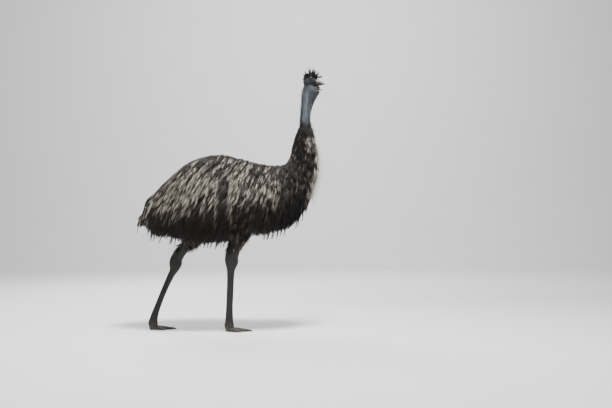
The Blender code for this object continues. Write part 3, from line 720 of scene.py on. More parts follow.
def body_surface(places, angles, depth):
    """Points of the body. Depth is the share of the coat that is left off, 1 at the skin."""
    places, angles, depth = np.broadcast_arrays(
        np.asarray(places, float), np.asarray(angles, float), np.asarray(depth, float)
    )
    rows = curve(BODY_SECTIONS, places) * MM
    top = np.stack([rows[..., 0], np.zeros_like(places), rows[..., 1]], -1)
    bottom = np.stack([rows[..., 2], np.zeros_like(places), rows[..., 3]], -1)
    height = np.linalg.norm(bottom - top, axis=-1)
    down = (bottom - top) / height[..., None]
    off = depth * rows[..., 5]
    neck = ease(ROUND_FROM - 4, ROUND_FROM, places)
    top_off = off * (TOP_COAT + (1 - TOP_COAT) * neck)
    sag = SAG + (1 - SAG) * neck
    full = FULLNESS + (1 - FULLNESS) * neck
    along = top_off + (height - top_off - off) * ((1 - np.cos(angles)) / 2) ** sag
    out = np.sign(np.sin(angles)) * np.abs(np.sin(angles)) ** full
    points = top + down * along[..., None]
    drift = NECK_DRIFT * ease(ROUND_FROM - 3, THROAT_END - 2, places)
    points[..., 1] = drift + (rows[..., 4] - off) * out
    turn = HEAD_YAW * ease(*TWIST, places)
    centre = HEAD.translation
    ahead = (points[..., 0] - centre.x) / np.cos(turn)
    aside = points[..., 1] - centre.y
    points[..., 0] = centre.x + ahead * np.cos(turn) - aside * np.sin(turn)
    points[..., 1] = centre.y + ahead * np.sin(turn) + aside * np.cos(turn)
    return points


def body_slopes(places, angles, depth):
    """Change of the surface with place and with angle, and its outward normal."""
    step = SLOPE_STEP
    along = body_surface(places + step, angles, depth) - body_surface(places - step, angles, depth)
    round_ = body_surface(places, angles + step, depth) - body_surface(places, angles - step, depth)
    along, round_ = along / (2 * step), round_ / (2 * step)
    return along, round_, unit(np.cross(along, round_))


def limb_rings(rows, first, last, pitch, count, reference=(1, 0, 0)):
    """Rings of an oval limb, evenly spaced, with the distance along it and the angle round it."""
    fine = np.linspace(first, last, 400)
    spine = curve(rows, fine)[:, :3] * MM
    run = np.concatenate([[0], np.cumsum(np.linalg.norm(np.diff(spine, axis=0), axis=1))])
    levels = max(int(run[-1] / pitch), 4)
    places = np.interp(np.linspace(0, run[-1], levels), run, fine)
    values = curve(rows, places) * MM
    along = unit(curve(rows, places + 0.05)[:, :3] - curve(rows, places - 0.05)[:, :3])
    reference = np.array(reference, float)
    ahead = unit(reference - along * (along @ reference)[:, None])
    across = np.cross(along, ahead)
    deep = values[:, 3] * (ahead @ reference)
    turns = np.linspace(0, 2 * math.pi, count, endpoint=False)
    offsets = (
        ahead[:, None] * (deep[:, None] * np.cos(turns))[..., None]
        + across[:, None] * (values[:, 4][:, None] * np.sin(turns))[..., None]
    )
    rings = values[:, None, :3] + offsets
    return rings, np.linspace(0, run[-1], levels), turns, places, unit(offsets)


def long_rings(rows, squared, count, pitch=1.0, grow=0.0):
    """Rings along local +X through rows of x, top, bottom and half width, in millimetres.

    Squared says how much the lower and the upper half of each ring is squared off.
    """
    length = rows[-1][0] - rows[0][0]
    places = np.linspace(0, len(rows) - 1, max(int(length / pitch), 6))
    x, top, bottom, half = curve(rows, places).T * MM
    top = top + grow * MM
    bottom = bottom - grow * MM
    half = half + grow * MM
    turns = (np.arange(count) + 0.5) * 2 * math.pi / count
    rise = np.sin(turns)
    power = np.where(rise > 0, 1 - 0.75 * squared[1], 1 - 0.75 * squared[0])
    rise = np.sign(rise) * np.abs(rise) ** power
    middle = (top + bottom) / 2
    local = np.stack(
        [
            np.broadcast_to(x[:, None], (len(x), count)),
            half[:, None] * np.cos(turns),
            middle[:, None] + (top - middle)[:, None] * rise,
        ],
        -1,
    )
    return local, places, turns


def placed(matrix, local):
    matrix = np.array(matrix)
    return local @ matrix[:3, :3].T + matrix[:3, 3]


def into(matrix, points):
    return placed(matrix.inverted(), points)


# Skin


def toe_frame(side, toe):
    """The frame of a toe, at the foot's middle, with +X along the toe."""
    at, yaw = FEET[side]
    inward = 1 if side == "right" else -1
    turn = Matrix.Rotation(yaw + inward * math.radians(TOE_TURNS[toe]), 4, "Z")
    return Matrix.Translation(Vector(at) * MM) @ turn


def plates(distance, length, height):
    """Overlapping plates: each rises slowly and drops at its lower edge."""
    phase = (distance / length) % 1.0
    return height * (0.2 + 0.8 * phase) * (1 - ease(0.86, 1.0, phase))


def pebbles(distance, turn_length, size, height):
    """Round scales in staggered rows."""
    row = np.floor(distance / size)
    along = distance / size - row - 0.5
    aside = (turn_length / size + 0.5 * (row % 2)) % 1.0 - 0.5
    return height * np.clip(1 - 3.4 * (along**2 + aside**2), 0, 1)


def leg_relief(run, around, places, sizes):
    """Height of the scales: plates in front and behind, round ones between, and grooved tendons."""
    front = 1 - ease(*LEG_FRONT, np.abs(around))
    rear = ease(*LEG_REAR, np.abs(around))
    size, height = LEG_PEBBLES
    length_share, height_share = REAR_PLATES
    length_behind = sizes.scute_length * length_share
    height_behind = sizes.scute_height * height_share
    scales = pebbles(run, around * LEG_RADIUS * MM, size * MM, height * MM)
    relief = front * plates(run, sizes.scute_length, sizes.scute_height)
    relief = relief + (1 - front) * (1 - rear) * scales
    relief = relief + rear * plates(run, length_behind, height_behind)
    reach, loss = KNUCKLE
    relief = relief * (1 - loss * bell(places, HOCK, reach))
    depth, angle, width = TENDON
    start, end = TENDON_SPAN
    tendon = depth * MM * bell(np.abs(around), angle, width) * ease(*start, places)
    tendon = tendon * (1 - ease(*end, places))
    return relief * ease(*LEG_BARE, places) - tendon


def toe_relief(local, places, turns, last):
    """Height of a toe's scales: plates on top, round ones below, none at its ends."""
    upper = ease(0.1, 0.5, np.sin(turns))[None]
    length, height = TOE_PLATES
    relief = upper * plates(local[..., 0], length * MM, height * MM)
    size, height = TOE_PEBBLES
    around = turns[None] * TOE_RADIUS * MM
    relief = relief + (1 - upper) * pebbles(local[..., 0], around, size * MM, height * MM)
    fade = 1 - ease(last - 0.6, last - 0.1, places)
    return relief * ease(-0.4, 0.4, places)[:, None] * fade[:, None]


def make_leg(side, sizes):
    rings, run, turns, places, outward = limb_rings(LEGS[side], 0, LEG_END, LEG_PITCH * MM, 58)
    around = np.where(turns > math.pi, turns - 2 * math.pi, turns)[None]
    relief = leg_relief(run[:, None], around, places[:, None], sizes)
    leg = loft("leg_" + side, rings + outward * relief[..., None])
    toes = []
    for name in TOE_TURNS:
        rows = MIDDLE_TOE if name == "middle" else SIDE_TOE
        local, places, turns = long_rings(rows, (0.5, 0.0), 44, 1.4)
        relief = toe_relief(local, places, turns, len(rows) - 1)
        local[..., 1] += relief * np.cos(turns)
        local[..., 2] += relief * np.sin(turns)
        toes.append(loft("toe", placed(toe_frame(side, name), local)))
    combine(leg, toes, "UNION")
    points = read_points(leg.data)
    points[:, 2] = np.maximum(points[:, 2], 0.0)
    write_points(leg.data, points)
    return leg


def local_ball(name, at, sizes, side=1, frame_=None, segments=32, rings=20):
    at = Vector((at[0], side * at[1], at[2])) * MM
    place = (HEAD if frame_ is None else frame_) @ Matrix.Translation(at)
    return ball(name, place, [size * MM for size in sizes], segments, rings)


def side_places(obj, spot):
    """The two places on the object's sides at a spot (x, z) of the head, in millimetres."""
    tree = BVHTree.FromObject(obj, bpy.context.evaluated_depsgraph_get())
    found = []
    for side in (-1, 1):
        start = HEAD @ Vector((spot[0] * MM, side * 0.1, spot[1] * MM))
        hit = tree.ray_cast(start, HEAD.to_3x3() @ Vector((0, -side, 0)))[0]
        found.append(HEAD.inverted() @ hit / MM)
    return found


def eye_centre(side):
    low, high = np.array(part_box("eye_" + side))
    return (low + high) / 2, (high - low)[2] / 2


def eye_frame(side):
    """A frame at the eye's centre whose +Z looks out of the head, a little ahead and up."""
    centre, _ = eye_centre(side)
    sign = -1 if side == "right" else 1
    look = HEAD.to_3x3() @ Vector((0.16, sign, 0.03)).normalized()
    ahead = HEAD.to_3x3() @ Vector((1, 0, 0))
    ahead = (ahead - look * ahead.dot(look)).normalized()
    up = look.cross(ahead)
    turn = Matrix((ahead, up, look)).transposed().to_4x4()
    return Matrix.Translation(Vector(centre)) @ turn


def polar_rings(reach, polar, turns):
    """Points by their distance from the centre, their angle from +Z and their turn round it."""
    flat = reach * np.sin(polar)
    high = reach * np.cos(polar) * np.ones(len(turns))
    return np.stack([flat * np.cos(turns), flat * np.sin(turns), high], -1)


def make_lids(side):
    """Both lids of an eye as one thin dome with an opening, whose rim is rounded."""
    _, radius = eye_centre(side)
    sign = -1 if side == "right" else 1
    turns = np.linspace(0, 2 * math.pi, 72, endpoint=False)
    above = np.sin(turns) * -sign
    wide, narrower, upper_lid = LID_OPENING
    opening = np.radians(wide - narrower * np.abs(above) - upper_lid * np.clip(above, 0, 1))
    inner, outer = [radius + more * MM for more in LID_FACES]
    rings = []
    for share, side_of_lid, more in LID_PROFILE:
        reach = (outer if side_of_lid == "outer" else inner) + more * MM
        rings.append(polar_rings(reach, opening + share, turns))
    rings = placed(eye_frame(side), np.array(rings))
    levels, count, _ = rings.shape
    level, step = np.meshgrid(np.arange(levels), np.arange(count), indexing="ij")
    here = (level * count + step).ravel()
    beside = (level * count + (step + 1) % count).ravel()
    over = ((level + 1) % levels * count + step).ravel()
    across = ((level + 1) % levels * count + (step + 1) % count).ravel()
    first = np.stack([here, beside, across], 1)
    second = np.stack([here, across, over], 1)
    mesh = triangle_mesh("lids", rings.reshape(-1, 3), np.concatenate([first, second]))
    turn_outwards(mesh)
    return new_object("lids_" + side, mesh)


def make_head_skin(sizes):
    """Head, throat and bare neck as one even skin, with brows, cheeks, lids, mouth and ears."""
    local, _, _ = long_rings(SKULL, (0.35, 0.0), 64, 1.0)
    head = loft("skull", placed(HEAD, local))
    places = np.linspace(BARE_FROM, THROAT_END, 150)
    turns = np.linspace(0, 2 * math.pi, 96, endpoint=False)
    depth = 1 - ease(19.0, 21.0, places)
    neck = loft("neck", body_surface(places[:, None], turns[None], depth[:, None]))
    local, _, _ = long_rings(JAW, (0.0, 0.7), 64, 1.0)
    jaw = loft("jaw", placed(JAW_FRAME, local))
    parts = [neck, jaw, local_ball("palate", PALATE_AT, PALATE_SIZES)]
    for side in (-1, 1):
        for name, at, half in FACE_FORMS:
            parts.append(local_ball(name, at, half, side))
    fuse(head, parts, sizes.skin_grain, 5)
    cutters = []
    for side in SIDES:
        _, radius = eye_centre(side)
        room = radius + 0.4 * MM
        cutters.append(ball("socket", eye_frame(side), (room, room, room), 48, 32))
    for at in side_places(head, EAR_AT):
        cutters.append(local_ball("ear", at, EAR_SIZES))
    local, _, _ = long_rings(LOWER_BILL, (0.0, 0.7), 48, 1.0, 0.25)
    cutters.append(loft("chin", placed(JAW_FRAME, local)))
    local, _, _ = long_rings(UPPER_BILL, (0.7, 0.0), 48, 1.0, 0.25)
    cutters.append(loft("face", placed(HEAD, local)))
    combine(head, cutters, "DIFFERENCE")
    tongue = local_ball("tongue", TONGUE_AT, TONGUE_SIZES, 1, JAW_FRAME, 48, 32)
    combine(head, [make_lids(side) for side in SIDES] + [tongue], "UNION")
    return head


def make_wings():
    wings = []
    for sign in (-1, 1):
        rows = [(x, sign * y, z, high, thick) for x, y, z, high, thick in WING_ROWS]
        rings = limb_rings(rows, 0, len(rows) - 1, 6 * MM, 24, (0, 0, 1))[0]
        wings.append(loft("wing", rings))
    return wings


def make_body_skin():
    places = np.concatenate([np.linspace(0.6, 12, 120), np.linspace(12.1, BARE_FROM + 0.5, 90)])
    turns = np.linspace(0, 2 * math.pi, 96, endpoint=False)
    return loft("body", body_surface(places[:, None], turns[None], 1.0))


def paint_skin(skin, materials):
    """Gives each face of the skin the material of its region."""
    centres = face_values(skin.data, "center")
    normals = face_values(skin.data, "normal")
    local = into(HEAD, centres) / MM
    jaw = into(JAW_FRAME, centres) / MM
    inward = normals @ np.array(HEAD.to_3x3())
    index = np.zeros(len(centres), np.int32)
    bare_neck = (centres[:, 2] > BARE_ABOVE) & (centres[:, 0] > BARE_AHEAD)
    index[bare_neck] = BARE
    thighs = (centres[:, 2] < THIGH_SKIN) & (np.abs(centres[:, 1]) < THIGH_REACH)
    legs = (centres[:, 2] < SCALED_BELOW) | thighs
    index[legs & ~bare_neck] = SCALED
    roof = (local[:, 0] > -6) & (local[:, 0] < 34) & (local[:, 2] < -34) & (inward[:, 2] < -0.75)
    roof &= (jaw[:, 2] > 0.5) & (np.abs(local[:, 1]) < 21)
    bed = (jaw[:, 0] > -2) & (jaw[:, 0] < 40) & (np.abs(jaw[:, 2] + 1) < 3) & (inward[:, 2] > 0.6)
    bed &= np.abs(jaw[:, 1]) < 20
    tongue = (((jaw - TONGUE_AT) / np.array(TONGUE_SIZES)) ** 2).sum(1) < 1.04
    palate = (((local - PALATE_AT) / np.array(PALATE_SIZES)) ** 2).sum(1) < 1.15
    palate &= (local[:, 2] < PALATE_AT[2] + 3) & (inward[:, 2] < 0.2)
    # The dark lining also paints the shade inside the open mouth.
    index[(roof | bed | tongue | palate) & bare_neck] = LINING
    skin.data.materials.clear()
    for material in materials:
        skin.data.materials.append(material)
    skin.data.polygons.foreach_set("material_index", index)
    skin.data.update()


# Bill, eyes and claws


def make_upper_bill():
    """The upper bill with a ridge on top, a groove along the side, a cutting edge and nostrils."""
    local, places, turns = long_rings(UPPER_BILL, (0.7, 0.0), 72, 0.8)
    fade = 1 - ease(4.6, 6.0, places)[:, None]
    lean = np.sin(turns)[None]
    ridge = BILL_RIDGE * MM * bell(np.cos(turns), 0, 0.2)[None] * (lean > 0) * fade
    groove = BILL_GROOVE * MM * bell(lean, 0.45, 0.2) * ease(0.2, 1.0, places)[:, None]
    groove = groove * (1 - ease(3.2, 4.2, places)[:, None])
    edge = UPPER_EDGE * MM * bell(lean, -0.25, 0.16) * fade
    relief = ridge + groove + edge
    local[..., 1] += relief * np.cos(turns)
    local[..., 2] += relief * lean
    bill = loft("bill_top", placed(HEAD, local))
    spots = side_places(bill, NOSTRIL_AT)
    combine(bill, [local_ball("nostril", at, NOSTRIL_SIZES) for at in spots], "DIFFERENCE")
    local = into(HEAD, read_points(bill.data)) / MM
    reach = [(((local - np.array(at)) / np.array(NOSTRIL_SIZES)) ** 2).sum(1) for at in spots]
    add_attribute(bill.data, "hollow", np.min(reach, 0) < 1.06)
    return bill


def make_lower_bill():
    """The lower bill with a cutting edge on either side and a trough between them."""
    local, places, turns = long_rings(LOWER_BILL, (0.0, 0.7), 64, 0.8)
    lean = np.sin(turns)[None]
    edge = LOWER_EDGE * MM * bell(lean, 0.3, 0.18) * (1 - ease(3.6, 5.0, places)[:, None])
    local[..., 1] += edge * np.cos(turns)
    trough = BILL_TROUGH * MM * bell(np.cos(turns), 0, 0.55)[None] * (lean > 0)
    local[..., 2] -= trough * (1 - ease(3.4, 4.8, places)[:, None])
    return loft("bill_bottom", placed(JAW_FRAME, local))


def make_eye(side):
    """An eyeball with a domed cornea, and its angle from the pupil stored on its points."""
    _, radius = eye_centre(side)
    polar = np.radians(np.concatenate([np.linspace(0.5, 60, 40), np.linspace(64, 178, 24)]))
    turns = np.linspace(0, 2 * math.pi, 64, endpoint=False)
    reach = radius * (1 + 0.035 * (1 - ease(math.radians(20), math.radians(42), polar)))
    rings = polar_rings(reach[:, None], polar[:, None], turns)
    eye = loft("eyeball_" + side, placed(eye_frame(side), rings))
    local = into(eye_frame(side), read_points(eye.data))
    add_attribute(eye.data, "polar", np.degrees(np.arccos(np.clip(unit(local)[:, 2], -1, 1))))
    add_attribute(eye.data, "turn", np.arctan2(local[:, 1], local[:, 0]))
    return eye


def make_claws(side):
    """The three claws of a foot, each with the name of the node it stands for."""
    claws = []
    for name in TOE_TURNS:
        toe, rows = (MIDDLE_TOE, MIDDLE_CLAW) if name == "middle" else (SIDE_TOE, SIDE_CLAW)
        place = toe_frame(side, name) @ Matrix.Translation((toe[-1][0] * MM, 0, 0))
        local, places, turns = long_rings(rows, (0.3, 0.0), 40, 0.6)
        keel = CLAW_KEEL * MM * bell(np.cos(turns), 0, 0.3)[None] * (np.sin(turns) > 0)
        local[..., 2] += keel * (1 - ease(2.6, 4.0, places)[:, None])
        claws.append((loft(f"nail_{side}_{name}", placed(place, local)), f"claw_{side}_{name}"))
    return claws


# Plumage


def wrapped(angles):
    """Angles from -pi to pi, with 0 at the back."""
    return (angles + math.pi) % (2 * math.pi) - math.pi


def even_roots(draw, start, end, depth=0.6):
    """Places and angles of roots, spread evenly over the body by the spacing in LOCK_SIZES."""
    places = []
    angles = []
    fine = np.linspace(0, 2 * math.pi, 257)
    place = start
    while place < end:
        apart = table(LOCK_SIZES, place) * MM
        ring = body_surface(place, fine, depth)
        run = np.concatenate([[0], np.cumsum(np.linalg.norm(np.diff(ring, axis=0), axis=1))])
        count = max(int(run[-1] / apart), 3)
        around, along = ROOT_JITTER
        at = (np.arange(count) + draw.uniform(-around, around, count) + draw.uniform()) / count % 1.0
        angles.append(np.interp(at * run[-1], run, fine))
        ahead = body_surface(place + 0.05, np.linspace(0, 2 * math.pi, 16), depth)
        here = body_surface(place, np.linspace(0, 2 * math.pi, 16), depth)
        stride = apart / (np.linalg.norm(ahead - here, axis=1).mean() / 0.05)
        places.append(place + draw.uniform(-along, along, count) * stride)
        place += stride
    return np.clip(np.concatenate(places), 0.12, 20.2), np.concatenate(angles)


def flattened(ways, normals):
    """The ways without their part along the normals."""
    return ways - normals * (ways * normals).sum(1, keepdims=True)


def lie_of_feathers(points, normals):
    """The way the feathers lie: down and to the rear, parted along the back."""
    back = table(LIE_BACK, points[:, 0])
    side = np.sign(points[:, 1]) * PART_WIDTH * np.maximum(normals[:, 2], 0)
    return unit(flattened(np.stack([-back, side, -np.ones(len(points))], 1), normals))


def hem_height(points):
    """Height of the lowest feather tips, raised where the thigh of the right leg comes out."""
    rows = np.array(BODY_SECTIONS[HEM_SECTIONS]) * MM
    hem = np.interp(points[:, 0], rows[:, 2], rows[:, 3])
    thigh = ease(*THIGH_BEGINS, points[:, 0]) * (1 - ease(*THIGH_ENDS, points[:, 0]))
    return hem + THIGH_RISE * thigh * (points[:, 1] < THIGH_SIDE)


def march(places, angles, lengths, bends, lifts, hems):
    """Paths of feathers that leave the skin, rise to the outline and hang where the body ends.

    Returns points and normals, one row for each feather and MARCH + 1 steps.
    """
    places = places.copy()
    angles = angles.copy()
    fallen = np.zeros((len(places), 3))
    path = []
    outs = []
    for step in range(MARCH + 1):
        share = step / MARCH
        ridge = RIDGE_RISE * bell(wrapped(angles), 0, RIDGE_WIDTH) * ease(0.0, 0.12, share)
        crest = RIDGE_CREST * bell(wrapped(angles), 0, SPINE_WIDTH) * ease(0.05, 0.4, share)
        depth = (table(LIFT_ROWS, share) + lifts * share) * (1 - ridge)
        depth = np.maximum(depth, LEAST_DEPTH) - crest
        along, round_, normal = body_slopes(places, angles, 0.5)
        point = body_surface(places, angles, depth)
        path.append(point + fallen)
        outs.append(normal)
        way = lie_of_feathers(point, normal)
        turn = bends * share
        way = way * np.cos(turn)[:, None] + np.cross(normal, way) * np.sin(turn)[:, None]
        free = np.maximum(ease(*UNDERSIDE, -normal[:, 2]), 1 - ease(0.25, 0.9, places))
        stride = lengths / MARCH
        e, f, g = (along**2).sum(1), (along * round_).sum(1), (round_**2).sum(1)
        p, q = (way * along).sum(1), (way * round_).sum(1)
        spare = np.maximum(e * g - f * f, 1e-12)
        held = (1 - free) * stride
        places = np.clip(places + held * (p * g - q * f) / spare, 0.1, 20.6)
        angles = angles + held * (q * e - p * f) / spare
        fallen = fallen + unit(HANG) * (free * stride)[:, None]
    path = np.stack(path, 1)
    outs = np.stack(outs, 1)
    tips = path[:, -1]
    floor = hem_height(tips) + hems
    base = floor + HEM_FOLD
    low = tips[:, 2] < floor
    squeeze = np.where(low, HEM_FOLD / np.maximum(base - tips[:, 2], 1e-6), 1.0)
    under = np.maximum(base[:, None] - path[..., 2], 0.0)
    path[..., 2] += under * (1 - squeeze)[:, None]
    return path, outs


def strand_meshes(paths, outs, widths, thickness, form_of=SHORT_STRAND):
    """Points and triangles of flat, pointed, three-sided strands along the paths."""
    shares, forms = form_of
    count = len(paths)
    steps = paths.shape[1] - 1
    rings = []
    for share, form in zip(shares[:-1], forms):
        at = share * steps
        index = int(at)
        part = at - index
        centre = paths[:, index] * (1 - part) + paths[:, min(index + 1, steps)] * part
        along = unit(paths[:, min(index + 1, steps)] - paths[:, max(index - 1, 0)])
        out = unit(outs[:, index] - along * (along * outs[:, index]).sum(1, keepdims=True))
        across = np.cross(along, out)
        side = across * (widths * form / 2)[:, None]
        rise = out * (thickness * form)[:, None]
        rings += [centre - side, centre + rise, centre + side]
    points = np.stack([*rings, paths[:, -1]], 1)
    size = points.shape[1]
    pattern = [(2, 1, 0)]
    for low in range(0, size - 4, 3):
        for side in range(3):
            after = (side + 1) % 3
            pattern.append((low + side, low + after, low + 3 + after))
            pattern.append((low + side, low + 3 + after, low + 3 + side))
    tip = size - 1
    pattern += [(tip - 3 + side, tip - 3 + (side + 1) % 3, tip) for side in range(3)]
    triangles = np.arange(count)[:, None, None] * size + np.array(pattern)[None]
    along = np.array([share for share in shares[:-1] for _ in range(3)] + [1.0])
    aside = np.array([0.0, 0.5, 1.0] * (len(shares) - 1) + [0.5])
    return points, triangles.reshape(-1, 3), along, aside


def strand_object(name, strands, tones, roots, material, slot, body="root"):
    """One mesh of many strands, with tone and length stored, and the map for baking."""
    points, triangles, along, aside = strands
    count, size, _ = points.shape
    mesh = triangle_mesh(name, points.reshape(-1, 3), triangles)
    add_attribute(mesh, "along", np.tile(along, count))
    add_attribute(mesh, "tone", np.repeat(tones, size))
    roots = (roots - roots.min(0)) / np.maximum(np.ptp(roots, axis=0), 1e-9)
    corner = 0.005 + roots * (0.99 - PATCH)
    spots = corner[:, None] + np.stack([aside, along], 1)[None] * PATCH
    layer = mesh.uv_layers.new(name="OFBake")
    index = np.empty(len(mesh.loops), np.int32)
    mesh.loops.foreach_get("vertex_index", index)
    layer.data.foreach_set("uv", spots.reshape(-1, 2)[index].astype(np.float32).ravel())
    mesh.polygons.foreach_set("use_smooth", np.ones(len(mesh.polygons), bool))
    mesh.materials.append(material)
    obj = new_object(name, mesh)
    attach(obj, body)


def unrolled(places, angles):
    """Where a root lies on the body's skin, unrolled from the belly line."""
    return np.stack([(angles / (2 * math.pi)) % 1.0, places], 1)


def make_coat(sizes, material):
    """Grows the locks of the body, each a bundle of strands that closes towards its tip."""
    draw = np.random.default_rng(sizes.seed)
    places, angles = even_roots(draw, COAT_FROM, COAT_TO)
    count = len(places)
    spacing, length, width, number = [table(LOCK_SIZES, places, column) for column in (1, 2, 3, 4)]
    length = length * MM * draw.uniform(*LOCK_LENGTH, count)
    bends = draw.normal(0, LOCK_BEND, count)
    lifts = draw.normal(0.0, LOCK_LIFT, count)
    front = bell(math.pi - np.abs(wrapped(angles)), 0, FRONT_WIDTH)
    front = front * ease(*FRONT_FROM, places) * (1 - ease(*FRONT_TO, places))
    flies = draw.uniform(0, 1, count) < FLYAWAY
    lifts = lifts + np.where(flies, 0.0, THIN_FRONT * front)
    hems = draw.uniform(*HEM_RAGGED, count)
    hems = np.where(draw.uniform(0, 1, count) < LOOSE_SHARE, HEM_LOOSE, hems)
    tones = draw.normal(*LOCK_TONE, count) - SPINE_DARKER * bell(wrapped(angles), 0, SPINE_WIDTH)
    tones = np.clip(tones, 0, 1) + np.where(flies, front * FLYAWAY_PALER, 0.0)
    parent = march(places, angles, length, bends, lifts, hems)[0]
    # Painted shade: locks whose tips hang under the shade line keep only part of their tone.
    shade = SHADE_LEVEL + SHADE_FORE * ease(-0.05, 0.15, parent[:, -1, 0])
    sun = ease(0.0, SHADE_RAMP, parent[:, -1, 2] + draw.normal(0, SHADE_EDGE, count) - shade)
    tones = tones * (SHADED_TONE + (1 - SHADED_TONE) * sun)

    owner = np.repeat(np.arange(count), number.astype(int))
    many = len(owner)
    radius = np.sqrt(draw.uniform(0, 1, many)) * spacing[owner] * MM * sizes.lock_spread
    turn = draw.uniform(0, 2 * math.pi, many)
    along, round_, _ = body_slopes(places[owner], angles[owner], 0.5)
    place = places[owner] + radius * np.cos(turn) / np.linalg.norm(along, axis=1)
    angle = angles[owner] + radius * np.sin(turn) / np.maximum(np.linalg.norm(round_, axis=1), 0.01)
    place = np.clip(place, 0.1, 20.4)
    child_length = length[owner] * draw.uniform(*STRAND_LENGTH, many)
    child, child_out = march(
        place,
        angle,
        child_length,
        bends[owner] + draw.normal(0, STRAND_BEND, many),
        lifts[owner] + draw.normal(0, STRAND_LIFT, many),
        hems[owner] + draw.uniform(*STRAND_HEM, many),
    )
    shares = np.linspace(0, 1, MARCH + 1)[None, :, None]
    close = sizes.clump * ease(*CLOSING, shares) * draw.uniform(*CLOSED, many)[:, None, None]
    gathered = parent[owner] + (child - child[:, :1]) * OWN_WAY
    paths = child * (1 - close) + gathered * close
    wave = draw.normal(0, 1, (many, 1, 3))
    wave = wave * np.sin(shares * math.pi * draw.uniform(*WAVES, many)[:, None, None])
    paths = paths + np.clip(wave, -2, 2) * WAVE_HEIGHT * MM * shares
    strand_tone = np.clip(tones[owner] + draw.normal(0, STRAND_TONE, many), 0, 1.6)
    widths = width[owner] * MM * draw.uniform(*STRAND_WIDTH, many)
    thick = np.full(many, sizes.strand_thickness)
    left = angle % (2 * math.pi) < math.pi
    for name, start, end in COAT_SPANS:
        form = SHORT_STRAND if start >= SHORT_FROM else LONG_STRAND
        for side, mask in (("left", left), ("right", ~left)):
            own = np.flatnonzero(mask & (place >= start) & (place < end))
            strands = strand_meshes(paths[own], child_out[own], widths[own], thick[own], form)
            spots = unrolled(place[own], angle[own])
            strand_object(f"coat_{name}_{side}", strands, strand_tone[own], spots, material, PLUMAGE_SLOT)


def bristles(name, look, kind, roots, normals, ways, lengths, rises, tones):
    """Hair-like feathers that stand from a surface and bend over towards their way.

    Look is the material and the slot; the slot is not used.
    """
    draw = np.random.default_rng(kind.seed)
    count = len(roots)
    shares = np.linspace(0, 1, MARCH + 1)[None, :, None]
    start = unit(normals * rises[:, None] + ways)
    stray = draw.normal(0, 1, (count, 1, 3)) * HAIR_STRAY
    drop = stray + np.array((0, 0, -kind.bow)) * draw.uniform(0.2, 1.0, count)[:, None, None]
    paths = roots[:, None] - normals[:, None] * HAIR_ROOT * MM
    paths = paths + (start[:, None] * shares + drop * shares**2) * lengths[:, None, None]
    outs = np.repeat(normals[:, None], MARCH + 1, 1)
    widths = np.full(count, kind.width * MM)
    strands = strand_meshes(paths, outs, widths, widths * HAIR_FLATNESS)
    spots = np.stack([roots[:, 0] + 0.3 * roots[:, 1], roots[:, 2]], 1)
    strand_object(name, strands, tones, spots, *look)


def surface_samples(obj, draw, number, keep):
    """Random places on the faces that the keep function chooses, and their normals."""
    mesh = obj.data
    mesh.calc_loop_triangles()
    index = np.empty(len(mesh.loop_triangles) * 3, np.int32)
    mesh.loop_triangles.foreach_get("vertices", index)
    corners = read_points(mesh)[index.reshape(-1, 3)]
    cross = np.cross(corners[:, 1] - corners[:, 0], corners[:, 2] - corners[:, 0])
    area = np.linalg.norm(cross, axis=1)
    normals = cross / np.maximum(area, 1e-15)[:, None]
    weight = area * keep(corners.mean(1), normals)
    chosen = draw.choice(len(area), number, p=weight / weight.sum())
    a, b = draw.uniform(0, 1, (2, number))
    flip = a + b > 1
    a[flip], b[flip] = 1 - a[flip], 1 - b[flip]
    c = corners[chosen]
    points = c[:, 0] + (c[:, 1] - c[:, 0]) * a[:, None] + (c[:, 2] - c[:, 0]) * b[:, None]
    return points, normals[chosen]


def tufted(draw, centres, normals, kind):
    """Repeats centres as small groups of roots, with the number of the centre of each."""
    owner = np.repeat(np.arange(len(centres)), kind.hairs)
    jitter = draw.normal(0, 1, (len(owner), 3)) * (kind.spread * MM)
    return owner, centres[owner] + flattened(jitter, normals[owner])


def tones_of(kind, draw, count):
    return np.clip(draw.normal(*kind.tones, count), 0, 1)


def crown_hair(skin, draw, look, ahead):
    """Short tufts all over the crown."""

    def crown(points, _):
        local = into(HEAD, points) / MM
        ahead_of_nape = ease(-58, -46, local[:, 0]) * (1 - ease(29, 33, local[:, 0]))
        eye = np.linalg.norm(local[:, [0, 2]], axis=1) > 22
        return ease(2, 20, local[:, 2]) * ahead_of_nape * eye * (points[:, 2] > 1.5)

    kind = CROWN_HAIR
    centres, normals = surface_samples(skin, draw, kind.tufts, crown)
    count = len(centres)
    owner, roots = tufted(draw, centres, normals, kind)
    lean = ahead[None] * draw.uniform(-0.7, 1.0, (count, 1)) + draw.normal(0, 0.4, (count, 3))
    lean[:, 2] = draw.uniform(0.1, 1.0, count)
    ways = lean[owner] + draw.normal(0, 0.07, (len(owner), 3))
    lengths = draw.uniform(*kind.lengths, count)[owner] * draw.uniform(0.65, 1.1, len(owner)) * MM
    rises = draw.uniform(*kind.rises, count)[owner]
    tones = tones_of(kind, draw, len(owner))
    bristles("hair_crown", look, kind, roots, normals[owner], ways, lengths, rises, tones)


